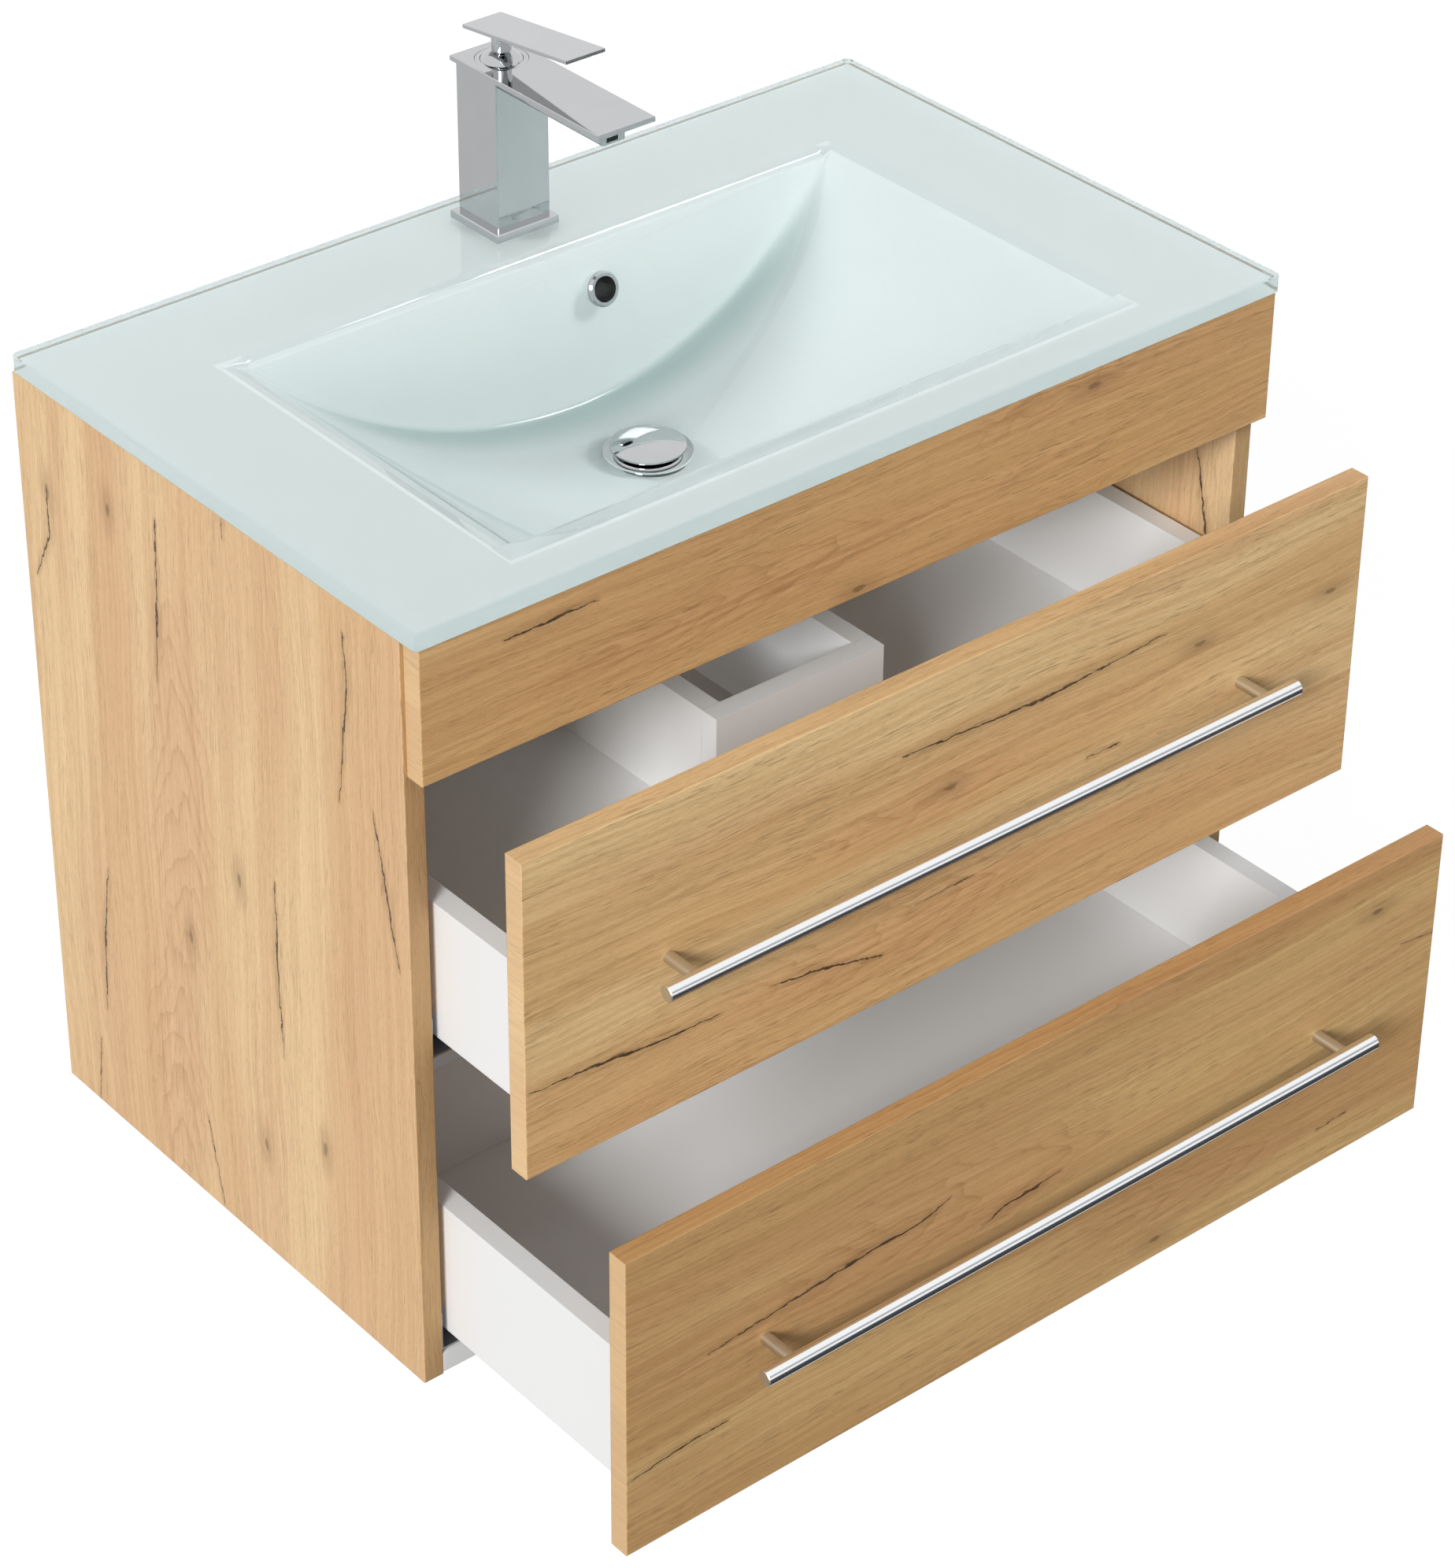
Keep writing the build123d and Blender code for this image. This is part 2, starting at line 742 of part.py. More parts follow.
elbow_plane = overflow_plane.offset(-glass - overflow_gasket)
elbow_middle = overflow_plane.offset(-glass - overflow_gasket - elbow_length / 2).origin
nozzle_low = elbow_middle.Z - elbow_diameter / 2 - elbow_nozzle_length / 2
with BuildPart() as overflow_elbow:
    with BuildSketch(elbow_plane):
        Circle(elbow_diameter / 2)
    extrude(amount=-elbow_length)
    with BuildSketch(Plane.XY.offset(nozzle_low)):
        with Locations((elbow_middle.X, elbow_middle.Y)):
            Circle(nozzle_diameter / 2)
    extrude(amount=elbow_middle.Z - nozzle_low)
    with BuildSketch(elbow_plane):
        Circle(sleeve_radius + slip_gap)
    extrude(amount=-(elbow_length - (nozzle_diameter - nozzle_bore)), mode=Mode.SUBTRACT)
    with BuildSketch(Plane.XY.offset(nozzle_low)):
        with Locations((elbow_middle.X, elbow_middle.Y)):
            Circle(nozzle_bore / 2)
    extrude(amount=elbow_middle.Z - nozzle_low, mode=Mode.SUBTRACT)
finish(overflow_elbow, "overflow_elbow")

# Collar round the waste that takes the overflow water in, with a nozzle towards the elbow
collar_middle = collar_low + collar_height / 2
run_x = elbow_middle.X - waste_place[0]
run_y = elbow_middle.Y - waste_place[1]
run_length = hypot(run_x, run_y)
run_way = (run_x / run_length, run_y / run_length, 0)
nozzle_end = collar_diameter / 2 + collar_nozzle_length
collar_plane = Plane(
    origin=(waste_place[0], waste_place[1], collar_middle),
    x_dir=(0, 0, 1),
    z_dir=run_way,
)
with BuildPart() as overflow_collar:
    with BuildSketch(Plane.XY.offset(collar_low)):
        with Locations(waste_place):
            Circle(collar_diameter / 2)
    extrude(amount=collar_height)
    with BuildSketch(collar_plane):
        Circle(nozzle_diameter / 2)
    extrude(amount=nozzle_end)
    with BuildSketch(collar_plane):
        Circle(nozzle_bore / 2)
    extrude(amount=nozzle_end, mode=Mode.SUBTRACT)
    with BuildSketch(Plane.XY.offset(collar_low)):
        with Locations(waste_place):
            Circle(ring_bore / 2)
    extrude(amount=collar_height, mode=Mode.SUBTRACT)
finish(overflow_collar, "overflow_collar")

# Rigid pipe from the elbow down and along to the collar
pipe_bore = nozzle_diameter / 2 + slip_gap
pipe_top = (elbow_middle.X, elbow_middle.Y, nozzle_low + pipe_overlap)
pipe_turn = (elbow_middle.X, elbow_middle.Y, collar_middle)
pipe_end = (
    waste_place[0] + run_way[0] * (nozzle_end - pipe_overlap),
    waste_place[1] + run_way[1] * (nozzle_end - pipe_overlap),
    collar_middle,
)
with BuildPart() as overflow_pipe:
    with BuildLine():
        FilletPolyline(pipe_top, pipe_turn, pipe_end, radius=pipe_bend)
    with BuildSketch(Plane(origin=pipe_top, x_dir=(1, 0, 0), z_dir=(0, 0, -1))):
        Circle(pipe_bore + pipe_wall)
        Circle(pipe_bore, mode=Mode.SUBTRACT)
    sweep()
finish(overflow_pipe, "overflow_pipe")

# Tap: a square column on a base plate, with a flat blade of a spout and a water channel under it
base_top = glass_top + tap_base_height
spout_top = glass_top + tap_height
spout_under = spout_top - spout_sheet
ball_z = spout_top - ball_drop
ball_radius = ball_diameter / 2
trim_low = spout_top - trim_ring_depth
nut_top = trim_low - running_gap
cartridge_top = nut_top - cartridge_nut_height
cartridge_low = cartridge_top - cartridge_length
column_front = tap_place[1] - tap_column / 2
spout_tip = tap_place[1] - spout_reach
channel_front = spout_tip + channel_setback
aerator_low = spout_under - channel_depth + aerator_rise
spigot_low = base_top - spigot_length

with BuildPart() as tap_base_plate:
    with BuildSketch(Plane.XY.offset(glass_top)):
        with Locations(tap_place):
            Rectangle(tap_base, tap_base)
            Circle(spigot_diameter / 2 + slip_gap, mode=Mode.SUBTRACT)
    extrude(amount=tap_base_height)
    plate_top = tap_base_plate.faces().sort_by(Axis.Z)[-1]
    chamfer(plate_top.outer_wire().edges(), tap_edge)
finish(tap_base_plate, "tap_base_plate")

with BuildPart() as tap_body:
    with BuildSketch(Plane.XY.offset(base_top)):
        with Locations(tap_place):
            Rectangle(tap_column, tap_column)
    extrude(amount=spout_under - base_top)
    fillet(tap_body.edges().filter_by(Axis.Z), tap_edge)
    with BuildSketch(Plane.XY.offset(spout_under)):
        with Locations((tap_place[0], tap_place[1] + tap_column / 2 + spout_overhang)):
            Rectangle(
                spout_width,
                spout_reach + tap_column / 2 + spout_overhang,
                align=(Align.CENTER, Align.MAX),
            )
    extrude(amount=spout_sheet)
    fillet(tap_body.faces().sort_by(Axis.Z)[-1].edges(), tap_edge)
    with BuildSketch(Plane.XZ.offset(-channel_front)) as channel_end:
        with Locations((tap_place[0], spout_under)):
            Rectangle(channel_width, channel_depth, align=(Align.CENTER, Align.MAX))
        fillet(channel_end.vertices().sort_by(Axis.Z)[:2], channel_round)
    extrude(amount=channel_front - column_front)
    with BuildSketch(Plane.XY.offset(spigot_low)):
        with Locations(tap_place):
            Circle(spigot_diameter / 2)
    extrude(amount=spigot_length)
    with BuildSketch(Plane.XY.offset(cartridge_low)):
        with Locations(tap_place):
            Circle(cartridge_diameter / 2 + slip_gap / 2)
    extrude(amount=spout_top - cartridge_low, mode=Mode.SUBTRACT)
    with BuildSketch(Plane.XY.offset(trim_low)):
        with Locations(tap_place):
            Circle(trim_ring_diameter / 2 + slip_gap / 2)
    extrude(amount=trim_ring_depth, mode=Mode.SUBTRACT)
    with BuildSketch(Plane.XY.offset(spigot_low)):
        with Locations((tap_place[0], tap_place[1] + inlet_shift)):
            with GridLocations(2 * inlet_spread, 0, 2, 1):
                Circle(inlet_hole / 2)
    extrude(amount=inlet_depth, mode=Mode.SUBTRACT)
    with BuildSketch(Plane.XY.offset(spigot_low)):
        with Locations((tap_place[0], tap_place[1] - stud_shift)):
            Circle(stud_diameter / 2 + thread_gap)
    extrude(amount=stud_grip + thread_gap, mode=Mode.SUBTRACT)
    with BuildSketch(Plane.XZ.offset(-channel_front)):
        with Locations((tap_place[0], aerator_low)):
            Rectangle(aerator_width, aerator_height, align=(Align.CENTER, Align.MIN))
    extrude(amount=-aerator_depth, mode=Mode.SUBTRACT)
finish(tap_body, "tap_body")

# Flow straightener in the mouth of the water channel
with BuildPart() as tap_aerator:
    with BuildSketch(Plane.XZ.offset(-channel_front - tap_edge)):
        with Locations((tap_place[0], aerator_low)):
            Rectangle(aerator_width, aerator_height, align=(Align.CENTER, Align.MIN))
        with Locations((tap_place[0], aerator_low + aerator_height / 2)):
            with GridLocations(aerator_width / 4, 0, 3, 1):
                SlotCenterToCenter(aerator_height / 3, aerator_width / 8, rotation=90, mode=Mode.SUBTRACT)
    extrude(amount=-(aerator_depth - tap_edge) / 2)
    with BuildSketch(Plane.XZ.offset(-channel_front - tap_edge - (aerator_depth - tap_edge) / 2)):
        with Locations((tap_place[0], aerator_low)):
            Rectangle(aerator_width, aerator_height, align=(Align.CENTER, Align.MIN))
    extrude(amount=-(aerator_depth - tap_edge) / 2)
finish(tap_aerator, "tap_aerator")

with BuildPart() as tap_cartridge:
    with BuildSketch(Plane.XY.offset(cartridge_low)):
        with Locations(tap_place):
            Circle(cartridge_diameter / 2)
    extrude(amount=cartridge_length)
finish(tap_cartridge, "tap_cartridge")

with BuildPart() as cartridge_nut:
    with BuildSketch(Plane.XY.offset(cartridge_top)):
        with Locations(tap_place):
            Circle(cartridge_diameter / 2)
            Circle(cartridge_nut_bore / 2, mode=Mode.SUBTRACT)
    extrude(amount=cartridge_nut_height)
finish(cartridge_nut, "tap_cartridge_nut")

# Trim ring whose lip closes in over the ball of the lever
trim_outer = tap_offset + trim_ring_diameter / 2
trim_bore = tap_offset + ball_radius + running_gap
trim_mouth = tap_offset + sqrt(ball_radius**2 - ball_drop**2) + running_gap
with BuildPart() as tap_trim_ring:
    with BuildSketch(Plane.XZ.offset(tap_setback)):
        with BuildLine():
            Polyline(
                (trim_bore, trim_low),
                (trim_outer, trim_low),
                (trim_outer, spout_top - tap_edge / 2),
                (trim_outer - tap_edge / 2, spout_top),
                (trim_mouth, spout_top),
                (trim_bore, spout_top - trim_lip),
                close=True,
            )
        make_face()
    revolve(axis=Axis((tap_offset, -tap_setback, 0), (0, 0, 1)))
finish(tap_trim_ring, "tap_trim_ring")

# Turret on the cartridge that turns with the lever and carries its tilting pin
ear_middle = (ear_gap + ear_thickness) / 2
with BuildPart() as tap_turret:
    with BuildSketch(Plane.XY.offset(cartridge_top + slip_gap)):
        with Locations(tap_place):
            Circle(cartridge_nut_bore / 2 - running_gap)
    extrude(amount=turret_height)
    with BuildSketch(Plane.XY.offset(cartridge_top + slip_gap + turret_height)):
        with Locations(tap_place):
            with GridLocations(2 * ear_middle, 0, 2, 1):
                Rectangle(ear_thickness, ear_depth)
    extrude(amount=ball_z + ear_depth / 2 - cartridge_top - slip_gap - turret_height)
    fillet(tap_turret.faces().sort_by(Axis.Z)[-2:].edges().filter_by(Axis.X), ear_depth / 3)
    with BuildSketch(Plane.YZ.offset(tap_place[0] - ear_gap)):
        with Locations((tap_place[1], ball_z)):
            Circle(pivot_diameter / 2 + pivot_gap)
    extrude(amount=2 * ear_gap, mode=Mode.SUBTRACT)
finish(tap_turret, "tap_turret")

with BuildPart() as tap_pivot_pin:
    pin_length = ear_gap + 2 * ear_thickness
    with BuildSketch(Plane.YZ.offset(tap_place[0] - pin_length / 2)):
        with Locations((tap_place[1], ball_z)):
            Circle(pivot_diameter / 2)
    extrude(amount=pin_length)
finish(tap_pivot_pin, "tap_pivot_pin")

# Lever: a bored half ball with a tongue on the pin, a round stem and a thin tilted blade
ball_plane = Plane(origin=(tap_place[0], tap_place[1], ball_z))
lever_plane = Plane(
    origin=(tap_place[0], tap_place[1], ball_z + lever_rise),
    x_dir=(1, 0, 0),
    z_dir=(0, sin(radians(lever_tilt)), cos(radians(lever_tilt))),
)
blade_under = lever_plane.offset(-lever_sheet)
with BuildPart() as tap_lever_ball:
    with Locations(ball_plane):
        Sphere(ball_radius)
    split(bisect_by=ball_plane.offset(ball_rim_rise), keep=Keep.TOP)
    with BuildSketch(ball_plane.offset(ball_bore_rise)):
        Circle(lever_stem_diameter / 2)
    extrude(amount=2 * lever_rise)
    split(bisect_by=blade_under, keep=Keep.BOTTOM)
    with BuildSketch(Plane.XY.offset(ball_z + ball_bore_rise)):
        with Locations(tap_place):
            Circle(ball_bore / 2)
    extrude(amount=-ball_diameter, mode=Mode.SUBTRACT)
    with BuildSketch(Plane.YZ.offset(tap_place[0] - ear_gap / 2 + running_gap)):
        with Locations((tap_place[1], ball_z - ear_depth / 2)):
            Rectangle(ear_depth, ball_radius, align=(Align.CENTER, Align.MIN))
    extrude(amount=ear_gap - 2 * running_gap)
    with BuildSketch(Plane.YZ.offset(tap_place[0] - ear_gap)):
        with Locations((tap_place[1], ball_z)):
            Circle(pivot_diameter / 2 + pivot_gap)
    extrude(amount=2 * ear_gap, mode=Mode.SUBTRACT)
finish(tap_lever_ball, "tap_lever_ball")

with BuildPart() as tap_lever_blade:
    with BuildSketch(blade_under):
        with Locations((0, (lever_back - lever_reach) / 2 / cos(radians(lever_tilt)))):
            Rectangle(lever_width, (lever_back + lever_reach) / cos(radians(lever_tilt)))
    extrude(amount=lever_sheet)
    chamfer(tap_lever_blade.edges(), tap_edge / 2)
finish(tap_lever_blade, "tap_lever_blade")

# Under the glass: a stud, a slotted clamp with its rubber pad, and a nut
stud_place = (tap_place[0], tap_place[1] - stud_shift)
stud_low = spigot_low + stud_grip - stud_length
clamp_top = carcass_top - seal
clamp_low = clamp_top - clamp_plate
with BuildPart() as tap_stud:
    with BuildSketch(Plane.XY.offset(stud_low)):
        with Locations(stud_place):
            Circle(stud_diameter / 2)
    extrude(amount=stud_length)
    chamfer(tap_stud.faces().sort_by(Axis.Z)[0].edges(), stud_diameter / 10)
finish(tap_stud, "tap_stud")


# The horseshoe outline that the pad and the clamp share
def horseshoe(low, thickness):
    with BuildPart() as piece:
        with BuildSketch(Plane.XY.offset(low)):
            with Locations(tap_place):
                Circle(clamp_diameter / 2)
            with Locations((tap_place[0], tap_place[1] + clamp_slot_shift)):
                Circle(clamp_slot / 2, mode=Mode.SUBTRACT)
                Rectangle(
                    clamp_slot,
                    clamp_diameter,
                    align=(Align.CENTER, Align.MIN),
                    mode=Mode.SUBTRACT,
                )
            with Locations(stud_place):
                Circle(stud_diameter / 2 + slip_gap, mode=Mode.SUBTRACT)
        extrude(amount=thickness)
    return piece


clamp_pad = horseshoe(clamp_top, seal)
finish(clamp_pad, "tap_clamp_pad")
clamp_shoe = horseshoe(clamp_low, clamp_plate)
finish(clamp_shoe, "tap_clamp_plate")

with BuildPart() as tap_clamp_nut:
    with BuildSketch(Plane.XY.offset(clamp_low - clamp_nut_height)):
        with Locations(stud_place):
            RegularPolygon(clamp_nut_flats / 2, 6, major_radius=False)
            Circle(stud_diameter / 2 + thread_gap, mode=Mode.SUBTRACT)
    extrude(amount=clamp_nut_height)
finish(tap_clamp_nut, "tap_clamp_nut")
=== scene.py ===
import json
from math import acos, cos, pi, radians, sin, sqrt, tan

import bmesh
import bpy
from mathutils import Matrix, Vector


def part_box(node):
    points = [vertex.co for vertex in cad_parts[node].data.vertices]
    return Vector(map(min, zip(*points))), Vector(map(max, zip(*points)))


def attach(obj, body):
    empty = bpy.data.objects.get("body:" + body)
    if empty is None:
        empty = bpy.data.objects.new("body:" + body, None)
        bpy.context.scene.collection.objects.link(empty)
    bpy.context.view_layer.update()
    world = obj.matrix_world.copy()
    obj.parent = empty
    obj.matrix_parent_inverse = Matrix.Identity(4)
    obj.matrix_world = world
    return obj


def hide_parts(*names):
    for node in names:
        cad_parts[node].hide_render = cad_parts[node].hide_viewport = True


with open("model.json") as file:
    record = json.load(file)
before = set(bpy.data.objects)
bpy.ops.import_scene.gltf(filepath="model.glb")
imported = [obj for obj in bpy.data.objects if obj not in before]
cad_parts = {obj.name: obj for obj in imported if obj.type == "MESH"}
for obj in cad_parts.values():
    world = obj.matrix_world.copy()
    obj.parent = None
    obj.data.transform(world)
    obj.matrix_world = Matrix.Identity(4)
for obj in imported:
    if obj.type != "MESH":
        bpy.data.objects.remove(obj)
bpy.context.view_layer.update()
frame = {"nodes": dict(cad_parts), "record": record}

nodes = frame["nodes"]
scene = bpy.context.scene
scene.view_settings.view_transform = "Standard"

cameraSet = {
    "place": (-1.72806, -2.36824, 1.53488),
    "turn": (58.7007, 0.0, -39.0426),
    "lens": 104.07,
    "shift": (0.04123, -0.14128),
}

camData = bpy.data.cameras.new("photoCamera")
camData.lens = cameraSet["lens"]
camData.sensor_width = 36
camData.shift_x, camData.shift_y = cameraSet["shift"]
camera = bpy.data.objects.new("photoCamera", camData)
camera.location = cameraSet["place"]
camera.rotation_euler = [radians(a) for a in cameraSet["turn"]]
scene.collection.objects.link(camera)
scene.camera = camera
print("camera set")


# small helpers for shader trees

def plug(tree, socket, value):
    if isinstance(value, bpy.types.NodeSocket):
        tree.links.new(value, socket)
    elif value is not None:
        socket.default_value = value


def addNode(tree, kind, settings=None, **inputs):
    made = tree.nodes.new(kind)
    for name, value in (settings or {}).items():
        setattr(made, name, value)
    for name, value in inputs.items():
        plug(tree, made.inputs[name.replace("_", " ")], value)
    return made


def calc(tree, operation, first, second=None, third=None, clamp=False):
    made = addNode(tree, "ShaderNodeMath", {"operation": operation, "use_clamp": clamp})
    for socket, value in zip(made.inputs, (first, second, third)):
        plug(tree, socket, value)
    return made.outputs[0]


def vecCalc(tree, operation, first, second=None, scale=None):
    made = addNode(tree, "ShaderNodeVectorMath", {"operation": operation})
    plug(tree, made.inputs[0], first)
    plug(tree, made.inputs[1], second)
    if scale is not None:
        plug(tree, made.inputs["Scale"], scale)
    return made.outputs["Value" if operation in ("DOT_PRODUCT", "LENGTH") else "Vector"]


def ramp(tree, value, low, high, out=(0.0, 1.0)):
    made = addNode(tree, "ShaderNodeMapRange", {"interpolation_type": "SMOOTHSTEP"})
    plug(tree, made.inputs["Value"], value)
    for name, number in zip(("From Min", "From Max", "To Min", "To Max"), (low, high, *out)):
        plug(tree, made.inputs[name], number)
    return made.outputs[0]


def mixColor(tree, share, first, second, blend="MIX"):
    made = addNode(tree, "ShaderNodeMix", {"data_type": "RGBA", "blend_type": blend})
    plug(tree, made.inputs["Factor"], share)
    plug(tree, made.inputs["A"], first if isinstance(first, bpy.types.NodeSocket) else (*first, 1))
    plug(tree, made.inputs["B"], second if isinstance(second, bpy.types.NodeSocket) else (*second, 1))
    return made.outputs["Result"]


def noise(tree, place, scale=1.0, detail=2.0, rough=0.5, stretch=None):
    if stretch is not None:
        place = vecCalc(tree, "MULTIPLY", place, stretch)
    made = addNode(tree, "ShaderNodeTexNoise", Vector=place, Scale=scale, Detail=detail, Roughness=rough)
    return made.outputs["Fac"]


def newMaterial(name):
    made = bpy.data.materials.new(name)
    made.use_nodes = True
    tree = made.node_tree
    return made, tree, tree.nodes["Principled BSDF"]


def objectPlace(tree):
    return addNode(tree, "ShaderNodeTexCoord").outputs["Object"]


def roundEdge(tree, radius):
    return addNode(tree, "ShaderNodeBevel", {"samples": 4}, Radius=radius).outputs[0]


# studio: soft key from the left, white surround, pale floor, lamps for the glass alone

# a lamp: where it shines from, strength and, for the sun, its width in degrees
studioSet = {
    "ambient": (0.37, 0.375, 0.38),
    "keyFrom": (-0.78, -0.44, 0.44),
    "keyStrength": 2.8,
    "keyWidth": 18.0,
    "glassSun": ((-0.55, -0.75, 0.37), 0.68, 50.0),
    "glassBoxes": [((0.55, -0.44, 0.66), 0.68), ((-0.45, 0.69, 0.53), 0.84)],
    "boxSize": (0.5, 1.1),
    "boxDistance": 4.0,
    "boxAim": (0.0, -0.23, 0.05),
    "floorHeight": -0.80,
    "floorSize": 14.0,
    "floorSeen": 0.90,
    "floorMirrored": 0.55,
    "floorShades": ((0.24, 0.24, 0.24), (0.26, 0.26, 0.26)),
    "flagLow": (-3.2, -3.6),
    "flagHigh": (3.2, -0.72),
    "flagLift": 0.01,
    "flagShade": (0.030, 0.036, 0.042),
    "cardWay": (0.62, -0.79),
    "cardFar": 3.6,
    "cardHalf": 2.2,
    "cardHeights": (0.45, 1.75),
    "cardShade": (0.42, 0.44, 0.47),
}


def stagePiece(name, corners, material):
    mesh = bpy.data.meshes.new(name)
    mesh.from_pydata(corners, [], [(0, 1, 2, 3)])
    mesh.materials.append(material)
    piece = bpy.data.objects.new(name, mesh)
    scene.collection.objects.link(piece)
    return piece


def level(low, high, height):
    corners = ((low[0], low[1]), (high[0], low[1]), (high[0], high[1]), (low[0], high[1]))
    return [(x, y, height) for x, y in corners]


def upright(way, far, half, heights):
    mid = Vector((*way, 0)).normalized() * far
    side = Vector((-mid.y, mid.x, 0)).normalized() * half
    low, high = Vector((0, 0, heights[0])), Vector((0, 0, heights[1]))
    return [mid - side + low, mid + side + low, mid + side + high, mid - side + high]


def mirroredOnly(piece):
    for ray in ("camera", "diffuse", "transmission", "shadow", "volume_scatter"):
        setattr(piece, "visible_" + ray, False)


def sunLamp(name, fromWay, strength, width):
    light = bpy.data.lights.new(name, "SUN")
    light.energy = strength
    light.angle = radians(width)
    lamp = bpy.data.objects.new(name, light)
    lamp.rotation_euler = Vector(fromWay).to_track_quat("Z", "Y").to_euler()
    scene.collection.objects.link(lamp)
    return lamp


def boxLamp(name, fromWay, strength, size):
    light = bpy.data.lights.new(name, "AREA")
    light.shape = "RECTANGLE"
    light.size, light.size_y = size
    far = studioSet["boxDistance"]
    light.energy = strength * pi * far * far
    lamp = bpy.data.objects.new(name, light)
    lamp.location = Vector(studioSet["boxAim"]) + Vector(fromWay).normalized() * far
    lamp.rotation_euler = Vector(fromWay).to_track_quat("Z", "Y").to_euler()
    scene.collection.objects.link(lamp)
    return lamp


def buildWorld():
    world = bpy.data.worlds.new("studio")
    scene.world = world
    world.use_nodes = True
    tree = world.node_tree
    tree.nodes.clear()
    path = addNode(tree, "ShaderNodeLightPath")
    seen = calc(tree, "MAXIMUM", path.outputs["Is Camera Ray"], path.outputs["Is Glossy Ray"])
    seen = calc(tree, "MAXIMUM", seen, path.outputs["Is Transmission Ray"])
    seen = calc(tree, "SUBTRACT", seen, path.outputs["Diffuse Depth"], clamp=True)
    soft = addNode(tree, "ShaderNodeBackground", Color=(*studioSet["ambient"], 1), Strength=1.0)
    white = addNode(tree, "ShaderNodeBackground", Color=(1, 1, 1, 1), Strength=1.0)
    mix = addNode(tree, "ShaderNodeMixShader", Fac=seen)
    tree.links.new(soft.outputs[0], mix.inputs[1])
    tree.links.new(white.outputs[0], mix.inputs[2])
    out = addNode(tree, "ShaderNodeOutputWorld")
    tree.links.new(mix.outputs[0], out.inputs["Surface"])


def floorMaterial():
    paper = bpy.data.materials.new("floorPaper")
    paper.use_nodes = True
    tree = paper.node_tree
    tree.nodes.clear()
    path = addNode(tree, "ShaderNodeLightPath")
    direct = calc(tree, "MAXIMUM", path.outputs["Is Camera Ray"], path.outputs["Is Transmission Ray"])
    glowLevel = calc(tree, "MAXIMUM", calc(tree, "MULTIPLY", direct, studioSet["floorSeen"]),
                     calc(tree, "MULTIPLY", path.outputs["Is Glossy Ray"], studioSet["floorMirrored"]))
    grain = noise(tree, objectPlace(tree), 900.0, 2.0)
    pale = mixColor(tree, grain, *studioSet["floorShades"])
    matt = addNode(tree, "ShaderNodeBsdfDiffuse", Color=pale)
    glow = addNode(tree, "ShaderNodeEmission", Color=(1, 1, 1, 1), Strength=glowLevel)
    both = addNode(tree, "ShaderNodeAddShader")
    tree.links.new(matt.outputs[0], both.inputs[0])
    tree.links.new(glow.outputs[0], both.inputs[1])
    out = addNode(tree, "ShaderNodeOutputMaterial")
    tree.links.new(both.outputs[0], out.inputs["Surface"])
    return paper


def flagMaterial():
    cloth, tree, shader = newMaterial("flagCloth")
    weave = noise(tree, objectPlace(tree), 300.0, 2.0)
    low = tuple(c * 0.8 for c in studioSet["flagShade"])
    plug(tree, shader.inputs["Base Color"], mixColor(tree, weave, low, studioSet["flagShade"]))
    shader.inputs["Roughness"].default_value = 0.9
    return cloth


def cardMaterial():
    board, tree, shader = newMaterial("greyCard")
    mottle = noise(tree, objectPlace(tree), 40.0, 2.0)
    low = tuple(c * 0.9 for c in studioSet["cardShade"])
    plug(tree, shader.inputs["Emission Color"], mixColor(tree, mottle, low, studioSet["cardShade"]))
    shader.inputs["Base Color"].default_value = (0, 0, 0, 1)
    shader.inputs["Emission Strength"].default_value = 1.0
    return board


buildWorld()
half = studioSet["floorSize"] / 2
ground = studioSet["floorHeight"]
stagePiece("floor", level((-half, -half), (half, half), ground), floorMaterial())
# a dark cloth in front and a grey card at the right, which only the metal and glass mirror
flagShape = level(studioSet["flagLow"], studioSet["flagHigh"], ground + studioSet["flagLift"])
mirroredOnly(stagePiece("flag", flagShape, flagMaterial()))
cardShape = upright(*(studioSet[key] for key in ("cardWay", "cardFar", "cardHalf", "cardHeights")))
mirroredOnly(stagePiece("card", cardShape, cardMaterial()))
keyLamp = sunLamp("key", studioSet["keyFrom"], studioSet["keyStrength"], studioSet["keyWidth"])
glassLamps = [sunLamp("glassSun", *studioSet["glassSun"])]
for i, (way, strength) in enumerate(studioSet["glassBoxes"]):
    glassLamps.append(boxLamp("glassBox%d" % i, way, strength, studioSet["boxSize"]))
glassLamps[-1].visible_glossy = False               # keeps its glare off the tap
print("studio ready")


# oak foil: plank tones, streaks, pores, arched figure, cracks and knots
# places along and across the grain are in metres: (Z, Y) on the sides, (X, Z) on the fronts

oakTones = {
    "pore": (0.200, 0.105, 0.045),
    "smudge": (0.300, 0.165, 0.075),
    "crack": (0.030, 0.017, 0.010),
    "halo": (0.300, 0.165, 0.075),
    "band": (0.800, 0.560, 0.330),
}

# stretch along and across the grain, detail, roughness
oakFields = {
    "drift": ((1.8, 5.0, 1.0), 2.0, 0.5),
    "wobble": ((14.0, 40.0, 1.0), 2.0, 0.5),
    "ragged": ((90.0, 300.0, 1.0), 3.0, 0.6),
    "fine": ((16.0, 900.0, 1.0), 2.0, 0.6),
}

